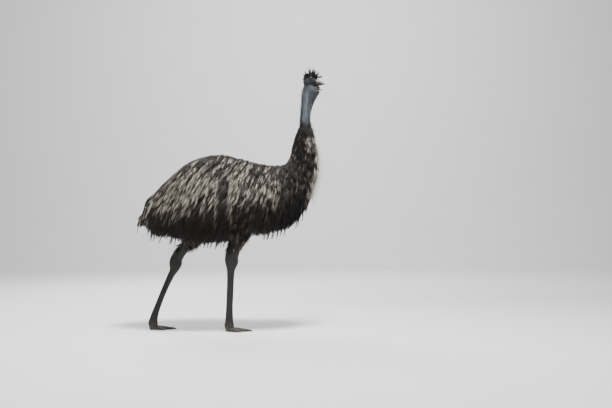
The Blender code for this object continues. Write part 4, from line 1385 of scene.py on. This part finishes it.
def tall_tufts(skin, draw, look, ahead):
    """The tall wisps of the crown, each with its own place, lean and tone."""
    tree = BVHTree.FromObject(skin, bpy.context.evaluated_depsgraph_get())
    centres = []
    for x, y, *_ in TALL_TUFTS:
        above = HEAD @ Vector((x * MM, y * MM, 0.1))
        centres.append(tree.ray_cast(above, Vector((0, 0, -1)))[0])
    kind = TALL_HAIR
    rows = np.array(TALL_TUFTS, float)
    across = np.array(HEAD.to_3x3()) @ np.array((0, 1.0, 0))
    up = np.tile((0, 0, 1.0), (kind.tufts, 1))
    owner, roots = tufted(draw, np.array(centres), up, kind)
    count = len(owner)
    ways = (rows[:, 3:4] * ahead + rows[:, 4:5] * across)[owner] + draw.normal(0, 0.06, (count, 3))
    lengths = rows[owner, 2] * draw.uniform(*kind.lengths, count) * MM
    tones = np.maximum(rows[owner, 5] + draw.normal(*kind.tones, count), 0)
    rises = np.full(count, kind.rises)
    bristles("hair_tufts", look, kind, roots, up[owner], ways, lengths, rises, tones)


def face_hair(skin, draw, look, ahead):
    """Fine short hair, dense over the eyes and sparse below them."""

    def face(points, _):
        local = into(HEAD, points) / MM
        upper = ease(-8, 9, local[:, 2]) * (local[:, 0] < 33)
        eye = np.linalg.norm(local[:, [0, 2]], axis=1) > 17
        return (0.06 + upper) * eye * (points[:, 2] > 1.545)

    kind = FACE_HAIR
    roots, normals = surface_samples(skin, draw, kind.tufts, face)
    ways = -ahead[None] + np.array((0, 0, -0.35)) + draw.normal(0, 0.25, (kind.tufts, 3))
    ways = flattened(ways, normals)
    lengths = draw.uniform(*kind.lengths, kind.tufts) * MM
    lengths = lengths * (1 + 0.6 * ease(0, 10, into(HEAD, roots)[:, 2] / MM))
    rises = draw.uniform(*kind.rises, kind.tufts)
    tones = tones_of(kind, draw, kind.tufts)
    bristles("hair_face", look, kind, roots, normals, ways, lengths, rises, tones)


def neck_hair(skin, draw, look, ahead):
    """Sparse hair on the bare neck, denser on the nape and towards the feathers."""

    def neck(points, normals):
        height = points[:, 2]
        local = into(HEAD, points) / MM
        nape = ease(0.0, 0.8, -(normals @ ahead))
        low = 1 - ease(1.26, 1.37, height)
        bare = (height > 1.24) * (height < 1.57) * (local[:, 0] < 40)
        return (0.14 + 0.8 * nape + 4.0 * low) * bare

    kind = NECK_HAIR
    roots, normals = surface_samples(skin, draw, kind.tufts, neck)
    ways = np.array((0.0, 0, -1.0)) + draw.normal(0, 0.16, (kind.tufts, 3))
    ways = flattened(ways, normals)
    lengths = draw.uniform(*kind.lengths, kind.tufts) * MM
    rises = draw.uniform(*kind.rises, kind.tufts)
    tones = tones_of(kind, draw, kind.tufts)
    bristles("hair_neck", look, kind, roots, normals, ways, lengths, rises, tones)


def throat_fluff(skin, draw, look, ahead):
    """Loose pale fluff in front of the feathered neck."""

    def throat(points, normals):
        height = points[:, 2]
        level = ease(0.86, 0.95, height) * (1 - ease(1.3, 1.36, height))
        return ease(0.7, 0.95, normals @ ahead) * level * (points[:, 0] > 0.3)

    kind = THROAT_FLUFF
    centres, normals = surface_samples(skin, draw, kind.tufts, throat)
    owner, roots = tufted(draw, centres, normals, kind)
    count, many = len(centres), len(owner)
    ways = np.array((0.0, 0, -0.9)) + draw.normal(0, 0.4, (count, 3))[owner]
    ways = ways + draw.normal(0, 0.2, (many, 3))
    lengths = np.interp(roots[:, 2], *THROAT_DEPTH) * draw.uniform(*kind.lengths, count)[owner]
    lengths = lengths * draw.uniform(0.8, 1.1, many) * MM
    rises = draw.uniform(*kind.rises, count)[owner]
    tones = draw.uniform(*kind.tones, many)
    bristles("fluff_throat", look, kind, roots, normals[owner], ways, lengths, rises, tones)


def make_head_hair(skin, sizes, material):
    draw = np.random.default_rng(sizes.seed + 1)
    ahead = np.array(HEAD.to_3x3()) @ np.array((1.0, 0, 0))
    for grow in (crown_hair, tall_tufts, face_hair, neck_hair, throat_fluff):
        grow(skin, draw, (material, SKIN_SLOT), ahead)


def thigh_area(side):
    """The function that picks the faces of one thigh, around the middle line of its leg."""
    rows = np.array(LEGS[side])[::-1]
    sign = -1 if side == "right" else 1

    def area(points, _):
        height = points[:, 2]
        middle = [np.interp(height / MM, rows[:, 2], rows[:, column]) for column in (0, 1)]
        near = np.linalg.norm(points[:, :2] - np.stack(middle, 1) * MM, axis=1) < 0.11
        return near * ease(0.5, 0.6, height) * (height < 0.77) * (sign * points[:, 1] > 0.02)

    return area


def make_thigh_feathers(skin, sizes, material):
    draw = np.random.default_rng(sizes.seed + 2)
    kind = THIGH_FEATHERS
    pale_share, pale_tone = PALE_THIGH
    for side in SIDES:
        centres, normals = surface_samples(skin, draw, kind.tufts, thigh_area(side))
        owner, roots = tufted(draw, centres, normals, kind)
        count, many = len(centres), len(owner)
        ways = np.array((-0.25, 0, -1.0)) + draw.normal(0, 0.15, (count, 3))[owner]
        ways = ways + draw.normal(0, 0.06, (many, 3))
        lengths = draw.uniform(*kind.lengths, count)[owner] * draw.uniform(0.7, 1.1, many) * MM
        rises = draw.uniform(*kind.rises, many)
        tones = tones_of(kind, draw, count)
        tones = np.where(draw.uniform(0, 1, count) < pale_share, pale_tone, tones)[owner]
        normals = normals[owner]
        ways = flattened(ways, normals)
        look = material, PLUMAGE_SLOT
        bristles(f"coat_thigh_{side}", look, kind, roots, normals, ways, lengths, rises, tones)


# Materials


class Value:
    """A value, vector or colour of a shader tree, for use in formulas."""

    def __init__(self, nodes, socket):
        self.nodes = nodes
        self.socket = socket

    def __add__(self, other):
        return self.nodes.math("ADD", self, other)

    def __sub__(self, other):
        return self.nodes.math("SUBTRACT", self, other)

    def __rsub__(self, other):
        return self.nodes.math("SUBTRACT", other, self)

    def __mul__(self, other):
        return self.nodes.math("MULTIPLY", self, other)

    def __truediv__(self, other):
        return self.nodes.math("DIVIDE", self, other)

    def __pow__(self, other):
        return self.nodes.math("POWER", self, other)

    def __abs__(self):
        return self.nodes.math("ABSOLUTE", self)

    def span(self, low, high, to_low=0.0, to_high=1.0):
        """Eases from one value to another while this one goes from low to high."""
        node = self.nodes.add("ShaderNodeMapRange", interpolation_type="SMOOTHSTEP")
        for socket, value in zip(node.inputs, (self, low, high, to_low, to_high)):
            self.nodes.feed(socket, value)
        return self.nodes.value(node)


class Nodes:
    """A short way to add and join shader nodes."""

    def __init__(self, tree):
        self.tree = tree

    def add(self, kind, **values):
        """Adds a node. A name with in_ and a number is an input, any other a property."""
        node = self.tree.nodes.new(kind)
        for name, value in values.items():
            if name.startswith("in_"):
                self.feed(node.inputs[int(name[3:])], value)
            else:
                setattr(node, name, value)
        return node

    def value(self, node, output=0):
        return Value(self, node.outputs[output])

    def feed(self, socket, value):
        if isinstance(value, Value):
            self.tree.links.new(value.socket, socket)
        elif socket.type == "RGBA":
            socket.default_value = (*value[:3], 1.0)
        else:
            socket.default_value = value

    def feed_all(self, node, values):
        """Links or sets the inputs of a node by their labels."""
        for label, value in values.items():
            self.feed(node.inputs[label], value)

    def math(self, operation, *values):
        node = self.add("ShaderNodeMath", operation=operation)
        for socket, value in zip(node.inputs, values):
            self.feed(socket, value)
        return self.value(node)

    def mix(self, factor, first, second, blend="MIX"):
        colours = {"in_6": first, "in_7": second}
        node = self.add("ShaderNodeMix", data_type="RGBA", blend_type=blend, in_0=factor, **colours)
        return self.value(node, 2)

    def noise(self, vector, scale, detail=2.0, stretch=None):
        if stretch is not None:
            product = self.add("ShaderNodeVectorMath", operation="MULTIPLY", in_0=vector, in_1=stretch)
            vector = self.value(product)
        node = self.add("ShaderNodeTexNoise", in_0=vector)
        self.feed_all(node, {"Scale": scale, "Detail": detail})
        return self.value(node)

    def cells(self, vector, scale):
        """Distance from the edges of irregular cells."""
        node = self.add("ShaderNodeTexVoronoi", feature="DISTANCE_TO_EDGE", in_0=vector)
        self.feed_all(node, {"Scale": scale})
        return self.value(node)

    def bump(self, height, strength, distance):
        node = self.add("ShaderNodeBump")
        self.feed_all(node, {"Strength": strength, "Distance": distance, "Height": height})
        return self.value(node)

    def place(self):
        return self.value(self.add("ShaderNodeTexCoord"), "Object")

    def split(self, vector):
        node = self.add("ShaderNodeSeparateXYZ", in_0=vector)
        return [self.value(node, axis) for axis in range(3)]

    def stored(self, name):
        """A value stored on the mesh."""
        return self.value(self.add("ShaderNodeAttribute", attribute_name=name), "Fac")


def new_material(name, roughness, **values):
    """A material with its Principled shader. Underscores stand for the spaces of a label."""
    made = bpy.data.materials.new(name)
    made.use_nodes = True
    shader = made.node_tree.nodes["Principled BSDF"]
    nodes = Nodes(made.node_tree)
    nodes.feed_all(shader, {"Roughness": roughness})
    nodes.feed_all(shader, {label.replace("_", " "): value for label, value in values.items()})
    return made, nodes, shader


def scaled(colour, share):
    return [share * part for part in colour]


def oval(x, z, middle, reach):
    """Grows from nothing in the middle of an oval to one at its edge."""
    ahead = ((x - middle[0]) / reach[0]) ** 2.0
    above = ((z - middle[1]) / reach[1]) ** 2.0
    return ahead + above


def plumage_marks():
    """Colour of the plumage by place, length along the feather and tone, for skin and coat alike."""
    tree = bpy.data.node_groups.new("plumage marks", "ShaderNodeTree")
    for label in ("Dark", "Middle", "Pale"):
        tree.interface.new_socket(label, in_out="INPUT", socket_type="NodeSocketColor")
    for label in ("Along", "Tone"):
        tree.interface.new_socket(label, in_out="INPUT", socket_type="NodeSocketFloat")
    tree.interface.new_socket("Colour", in_out="OUTPUT", socket_type="NodeSocketColor")
    nodes = Nodes(tree)
    entry = nodes.add("NodeGroupInput")
    leave = nodes.add("NodeGroupOutput")
    dark, middle, pale, along, tone = [nodes.value(entry, index) for index in range(5)]
    position = nodes.place()
    x, _, z = nodes.split(position)
    patch = nodes.noise(position, PATCH_SCALE)
    height = z + (patch - 0.5) * PATCH_RISE
    forward = (x + patch * PATCH_FORWARD).span(*NECK_FROM)
    collar = z.span(*COLLAR)
    # Painted shade in the parting behind the shoulder: it keeps out the painted sunlight and the brown.
    parting_shade = abs(x + PARTING_SHADE_BEHIND + (patch - 0.5) * PARTING_SHADE_WAVER)
    parting_shade = parting_shade.span(*PARTING_SHADE_WIDTH) * z.span(*PARTING_SHADE_TOP)
    # Painted sunlight: on the high parts of the body, weaker on the neck and none in the parting's painted
    # shade.
    sunned = (height - x.span(*SHADE_AHEAD) + x.span(*SHADE_REAR)).span(*SUN_EDGE)
    sunned = sunned * forward.span(*BREAST_SHARE) * (1.0 - parting_shade)
    chosen = tone - forward * NECK_DARKER
    # Pale tips, shown only where the painted sunlight falls.
    light = along.span(*PALE_TIP) * sunned * chosen.span(*PALE_TONES) * collar
    # Painted shade: the brown fades lower on the body and in the parting.
    brown = along.span(*BROWN_FROM) * tone.span(*BROWN_TONES) * height.span(*BROWN_HEIGHT)
    brown = brown * parting_shade.span(*BROWN_PARTING_SHADE) * x.span(*BROWN_AHEAD) * collar
    colour = nodes.mix(brown, dark, middle)
    colour = nodes.mix(forward * NECK_DARKER, colour, BLACK)
    colour = nodes.mix(light, colour, pale)
    ruff = oval(x, z, RUFF_MIDDLE, RUFF_REACH).span(*RUFF_EDGE)
    ruff = ruff * tone.span(*RUFF_TONES) * along.span(*RUFF_FROM)
    ruff = ruff * nodes.noise(position, 110.0, 2.0, (1, 1, 0.1)).span(*RUFF_STRANDS)
    fluff = tone.span(*FLUFF_TONES) * along.span(*FLUFF_FROM)
    fluff = fluff * nodes.math("MAXIMUM", collar, z.span(*FLUFF_ABOVE))
    colour = nodes.mix(nodes.math("MAXIMUM", ruff, fluff), colour, pale)
    nodes.feed_all(leave, {"Colour": colour})
    return tree


def feather_colour(nodes, marks, colours, along, tone):
    """The colour of the plumage, by the group that the skin and all strands share."""
    group = nodes.add("ShaderNodeGroup", node_tree=marks)
    values = {
        "Dark": colours.feather_dark,
        "Middle": colours.feather_mid,
        "Pale": colours.feather_pale,
        "Along": along,
        "Tone": tone,
    }
    nodes.feed_all(group, values)
    return nodes.value(group, "Colour")


def feather_material(marks, colours, name="feathers"):
    made, nodes, shader = new_material(name, 0.62, Specular_IOR_Level=0.35)
    colour = feather_colour(nodes, marks, colours, nodes.stored("along"), nodes.stored("tone"))
    streak = nodes.noise(nodes.place(), 140.0, 3.0, (1, 1, 0.15))
    look = {
        "Base Color": nodes.mix(streak.span(0.3, 0.7, 0.0, 0.5), colour, BLACK, "MULTIPLY"),
        "Roughness": streak.span(0.2, 0.8, 0.5, 0.72),
        "Normal": nodes.bump(streak, 0.4, 0.0006),
    }
    nodes.feed_all(shader, look)
    return made


def skin_material(marks, colours):
    """The skin under the plumage, in the colour of the feathers near their roots."""
    made, nodes, shader = new_material("feathered_skin", 0.7)
    colour = feather_colour(nodes, marks, colours, 0.2, 0.4)
    down = nodes.noise(nodes.place(), 260.0, 3.0)
    look = {
        "Base Color": nodes.mix(down.span(0.3, 0.7, 0.0, 0.6), colour, BLACK, "MULTIPLY"),
        "Normal": nodes.bump(down, 0.5, 0.001),
    }
    nodes.feed_all(shader, look)
    return made


def neck_material(colours):
    """Bare skin of neck and head, streaked on the neck and dark on the crown and round the eyes, with
    painted shade on the lower face, along the mouth line and under the jaw.
    """
    made, nodes, shader = new_material("bare_skin", 0.55, Specular_IOR_Level=0.2)
    position = nodes.place()
    x, _, z = nodes.split(position)
    eye_x, _, eye_z = HEAD.translation
    streak = nodes.noise(position, 84.0, 3.0, (1, 1, 0.1))
    blotch = nodes.noise(position, 26.0, 4.0)
    colour = nodes.mix(streak.span(0.38, 0.62), colours.neck_skin, scaled(colours.neck_skin, 0.36))
    colour = nodes.mix(blotch.span(0.52, 0.75, 0.0, 0.55), colour, colours.neck_dark_and_shade)
    # Painted shade on the lower face and jaw.
    for low, high, most, share in FACE_PAINTED_SHADES:
        zone = z.span(eye_z + low, eye_z + high, 0.0, most)
        colour = nodes.mix(zone, colour, scaled(colours.neck_dark_and_shade, share))
    # The skin's own dark line behind the mouth, with painted shade in the crease under the cheek.
    gape_line_and_shade = abs(z - (eye_z + GAPE_HEIGHT)).span(*GAPE_WIDTH) * x.span(*GAPE_FROM)
    colour = nodes.mix(gape_line_and_shade, colour, GAPE_LINE_AND_SHADE_COLOUR)
    crown = z.span(eye_z + CROWN_EDGE[0], eye_z + CROWN_EDGE[1]) * 0.85
    colour = nodes.mix(crown, colour, CROWN_COLOUR)
    lids = oval(x, z, (eye_x, eye_z), LID_REACH).span(*LID_EDGE)
    colour = nodes.mix(lids, colour, LID_COLOUR)
    low = (z + streak * 0.3).span(*LOW_NECK) * 0.93
    colour = nodes.mix(low, colour, LOW_NECK_COLOUR)
    # Painted shadow under the jaw.
    throat = (x + streak * 0.02).span(*JAW_SHADOW_FROM) * z.span(*JAW_SHADOW_BELOW) * 0.75
    colour = nodes.mix(throat, colour, colours.neck_dark_and_shade)
    pores = nodes.cells(position, 640.0)
    look = {
        "Base Color": nodes.mix(pores.span(0.0, 0.12, 0.35, 0.0), colour, colours.neck_dark_and_shade),
        "Roughness": blotch.span(0.3, 0.7, 0.54, 0.7),
        "Normal": nodes.bump(pores.span(0.0, 0.25) * 0.4 + streak, 0.45, 0.0012),
    }
    nodes.feed_all(shader, look)
    return made


def mouth_material(colours):
    # The dark colour is partly the lining's own and partly painted shade inside the open mouth.
    made, nodes, shader = new_material("mouth_lining", 0.4, Coat_Weight=0.3)
    folds = nodes.noise(nodes.place(), 120.0, 3.0, (0.3, 1, 1))
    look = {
        "Base Color": nodes.mix(folds, colours.mouth, scaled(colours.mouth, 0.45)),
        "Normal": nodes.bump(folds, 0.4, 0.001),
    }
    nodes.feed_all(shader, look)
    return made


def leg_material(colours):
    """Scaled skin, paler in worn patches and dusty near the ground."""
    made, nodes, shader = new_material("scaled_skin", 0.58, Specular_IOR_Level=0.35)
    position = nodes.place()
    height = nodes.split(position)[2]
    seams = nodes.cells(position, 330.0)
    worn = nodes.noise(position, 34.0, 4.0)
    colour = nodes.mix(worn.span(0.35, 0.7), colours.leg, scaled(colours.leg, 1.7))
    colour = nodes.mix(seams.span(0.02, 0.14, 0.8, 0.0), colour, colours.leg_seam)
    dusty = height.span(*DUST_BELOW) * worn.span(0.3, 0.7, 0.2, 0.8)
    look = {
        "Base Color": nodes.mix(dusty, colour, DUST_COLOUR),
        "Roughness": worn.span(0.3, 0.7, 0.48, 0.7),
        "Normal": nodes.bump(seams.span(0.0, 0.2), 0.6, 0.0009),
    }
    nodes.feed_all(shader, look)
    return made


def horn_material(colours, name, roughness=0.4, pale_and_lit=0.0):
    """Grained horn, paler where it is worn, with painted light on the faces that look up and painted shade
    inside the nostrils.
    """
    made, nodes, shader = new_material(name, roughness, Coat_Weight=0.1, Coat_Roughness=0.3)
    position = nodes.place()
    grain = nodes.noise(position, 210.0, 4.0, (0.25, 1, 1))
    worn = nodes.noise(position, 46.0, 3.0)
    factor = worn.span(0.48, 0.75) * (0.25 + 0.3 * pale_and_lit)
    colour = nodes.mix(factor, colours.horn, colours.horn_worn_and_lit)
    # Painted light: faces that look up are paled towards the worn colour.
    upward = nodes.split(nodes.value(nodes.add("ShaderNodeNewGeometry"), "Normal"))[2]
    colour = nodes.mix(upward.span(0.1, 0.85, 0.0, pale_and_lit), colour, colours.horn_worn_and_lit)
    colour = nodes.mix(grain.span(0.4, 0.7, 0.0, 0.4), colour, colours.horn)
    look = {
        # Painted shade inside the nostrils.
        "Base Color": nodes.mix(nodes.stored("hollow"), colour, NOSTRIL_SHADE_COLOUR),
        "Roughness": grain.span(0.25, 0.75, roughness - 0.06, roughness + 0.16),
        "Normal": nodes.bump(grain, 0.35, 0.0006),
    }
    nodes.feed_all(shader, look)
    return made


def eye_material(colours):
    """Black pupil, an iris with fine rays, and a dark rim, by the angle from the middle."""
    gloss = {"Coat_Weight": 0.8, "Specular_IOR_Level": 0.1, "Coat_Roughness": 0.03}
    made, nodes, shader = new_material("eye", 0.18, **gloss)
    polar = nodes.stored("polar")
    turn = nodes.stored("turn")
    joined = nodes.add("ShaderNodeCombineXYZ", in_0=turn * 9.0, in_1=polar * 0.05)
    rays = nodes.add("ShaderNodeTexNoise", noise_dimensions="2D")
    nodes.feed_all(rays, {"Vector": nodes.value(joined), "Scale": 1.6})
    fibre = nodes.value(rays).span(0.3, 0.7)
    iris = nodes.mix(fibre, colours.iris, scaled(colours.iris, 0.4))
    colour = nodes.mix(polar.span(*PUPIL_EDGE), PUPIL_COLOUR, iris)
    colour = nodes.mix(polar.span(*IRIS_EDGE), colour, RIM_COLOUR)
    nodes.feed_all(shader, {"Base Color": colour})
    return made


# Stage


def make_floor(studio):
    """A floor that bends up into a backdrop behind the bird."""
    turns = np.linspace(0, math.pi / 2, FLOOR_STEPS)
    outline = [(-FLOOR_REACH, 0.0), (FLOOR_BACK, 0.0)]
    for turn in turns[1:]:
        outline.append((FLOOR_BACK + FLOOR_BEND * math.sin(turn), FLOOR_BEND * (1 - math.cos(turn))))
    outline.append((FLOOR_BACK + FLOOR_BEND, FLOOR_RISE))
    points = [(side * FLOOR_REACH, y, z) for y, z in outline for side in (-1, 1)]
    faces = [(2 * step, 2 * step + 1, 2 * step + 3, 2 * step + 2) for step in range(len(outline) - 1)]
    mesh = bpy.data.meshes.new("floor")
    mesh.from_pydata(points, [], faces)
    floor = new_object("floor", mesh)
    shade_smooth(floor)
    made, nodes, shader = new_material("floor", 0.85)
    grain = nodes.noise(nodes.place(), 3.0, 3.0)
    nodes.feed_all(shader, {"Base Color": nodes.mix(grain, studio.floor, scaled(studio.floor, 0.94))})
    mesh.materials.append(made)


def make_lights(studio):
    for name, at, way, size, power, share in LIGHTS:
        light = bpy.data.lights.new(name, "AREA")
        light.size = size
        light.energy = getattr(studio, power) * share
        obj = new_object(name, light)
        obj.location = at
        way = Vector(way) if way else Vector(LIT_POINT) - Vector(at)
        obj.rotation_euler = way.to_track_quat("-Z", "Y").to_euler()
    world = bpy.data.worlds.new("studio")
    world.use_nodes = True
    background = world.node_tree.nodes["Background"]
    background.inputs["Color"].default_value = (1, 1, 1, 1)
    background.inputs["Strength"].default_value = studio.sky
    bpy.context.scene.world = world


def make_camera(studio):
    camera = bpy.data.cameras.new("camera")
    camera.lens = studio.lens
    camera.sensor_width = SENSOR_WIDTH
    camera.clip_end = CLIP_END
    obj = new_object("camera", camera)
    obj.location = CAMERA_AT
    obj.rotation_euler = (math.radians(CAMERA_TILT), 0.0, 0.0)
    bpy.context.scene.camera = obj


# Operators


def settings():
    scene = bpy.context.scene
    return scene.emu_sizes, scene.emu_colours, scene.emu_studio


def shared_marks():
    return bpy.data.node_groups.get("plumage marks") or plumage_marks()


def shared_material(name, make, *values):
    return bpy.data.materials.get(name) or make(*values)


class EMU_OT_skin(bpy.types.Operator):
    """Build the skin of the whole bird as one piece"""

    bl_idname = "emu.skin"
    bl_label = "Skin"

    def execute(self, context):
        sizes, colours, _ = settings()
        skin = make_body_skin()
        skin.name = "skin"
        parts = [make_leg(side, sizes) for side in SIDES] + make_wings() + [make_head_skin(sizes)]
        combine(skin, parts, "UNION")
        marks = shared_marks()
        materials = [
            skin_material(marks, colours),
            neck_material(colours),
            leg_material(colours),
            mouth_material(colours),
        ]
        paint_skin(skin, materials)
        shade_smooth(skin)
        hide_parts(*FLESH)
        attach(skin, "root")
        return {"FINISHED"}


class EMU_OT_bill(bpy.types.Operator):
    """Build the upper and lower bill with nostrils and cutting edges"""

    bl_idname = "emu.bill"
    bl_label = "Bill"

    def execute(self, context):
        _, colours, _ = settings()
        # The share sets how pale the worn patches are and how much painted light falls on the faces that
        # look up.
        bills = (make_upper_bill(), "bill_upper", 0.62), (make_lower_bill(), "bill_lower", 0.0)
        for bill, node, pale_and_lit in bills:
            bill.data.materials.clear()
            bill.data.materials.append(horn_material(colours, node + "_horn", 0.4, pale_and_lit))
            shade_smooth(bill)
            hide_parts(node)
            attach(bill, "root")
        return {"FINISHED"}


class EMU_OT_eyes(bpy.types.Operator):
    """Build the two eyes with iris, pupil and a domed cornea"""

    bl_idname = "emu.eyes"
    bl_label = "Eyes"

    def execute(self, context):
        _, colours, _ = settings()
        for side in SIDES:
            eye = make_eye(side)
            eye.data.materials.append(shared_material("eye", eye_material, colours))
            shade_smooth(eye)
            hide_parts("eye_" + side)
            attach(eye, "root")
        return {"FINISHED"}


class EMU_OT_claws(bpy.types.Operator):
    """Build the six claws"""

    bl_idname = "emu.claws"
    bl_label = "Claws"

    def execute(self, context):
        _, colours, _ = settings()
        horn = shared_material("claw_horn", horn_material, colours, "claw_horn", 0.42)
        for side in SIDES:
            for claw, node in make_claws(side):
                claw.data.materials.append(horn)
                shade_smooth(claw)
                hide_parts(node)
                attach(claw, "root")
        return {"FINISHED"}


class EMU_OT_coat(bpy.types.Operator):
    """Grow the shaggy plumage of body, thighs and lower neck in locks of thin strands"""

    bl_idname = "emu.coat"
    bl_label = "Plumage"

    def execute(self, context):
        sizes, colours, _ = settings()
        material = feather_material(shared_marks(), colours)
        make_coat(sizes, material)
        make_thigh_feathers(bpy.data.objects["skin"], sizes, material)
        return {"FINISHED"}


class EMU_OT_hair(bpy.types.Operator):
    """Set the hair-like feathers of the crown, face and bare neck"""

    bl_idname = "emu.hair"
    bl_label = "Head and neck hair"

    def execute(self, context):
        sizes, colours, _ = settings()
        material = feather_material(shared_marks(), colours, "hair")
        make_head_hair(bpy.data.objects["skin"], sizes, material)
        return {"FINISHED"}


class EMU_OT_stage(bpy.types.Operator):
    """Set the pale floor with its curved backdrop, the soft lights and the camera"""

    bl_idname = "emu.stage"
    bl_label = "Stage"

    def execute(self, context):
        _, _, studio = settings()
        make_floor(studio)
        make_lights(studio)
        make_camera(studio)
        return {"FINISHED"}


class EMU_PT_panel(bpy.types.Panel):
    """Lists the pieces of the bird and their settings"""

    bl_idname = "EMU_PT_panel"
    bl_label = "Emu"
    bl_space_type = "VIEW_3D"
    bl_region_type = "UI"
    bl_category = "Emu"

    def draw(self, context):
        layout = self.layout
        for group in (context.scene.emu_sizes, context.scene.emu_colours, context.scene.emu_studio):
            box = layout.box()
            for name in group.__annotations__:
                box.prop(group, name)
        for operator in OPERATORS:
            layout.operator(operator.bl_idname)


OPERATORS = (
    EMU_OT_skin,
    EMU_OT_bill,
    EMU_OT_eyes,
    EMU_OT_claws,
    EMU_OT_coat,
    EMU_OT_hair,
    EMU_OT_stage,
)
CLASSES = (EmuSizes, EmuColours, EmuStudio, *OPERATORS, EMU_PT_panel)


def register():
    for each in CLASSES:
        bpy.utils.register_class(each)
    bpy.types.Scene.emu_sizes = PointerProperty(type=EmuSizes)
    bpy.types.Scene.emu_colours = PointerProperty(type=EmuColours)
    bpy.types.Scene.emu_studio = PointerProperty(type=EmuStudio)


def unregister():
    del bpy.types.Scene.emu_studio
    del bpy.types.Scene.emu_colours
    del bpy.types.Scene.emu_sizes
    for each in reversed(CLASSES):
        bpy.utils.unregister_class(each)


def main():
    register()
    bpy.ops.emu.skin()
    bpy.ops.emu.bill()
    bpy.ops.emu.eyes()
    bpy.ops.emu.claws()
    bpy.ops.emu.coat()
    bpy.ops.emu.hair()
    bpy.ops.emu.stage()


if __name__ == "__main__":
    main()
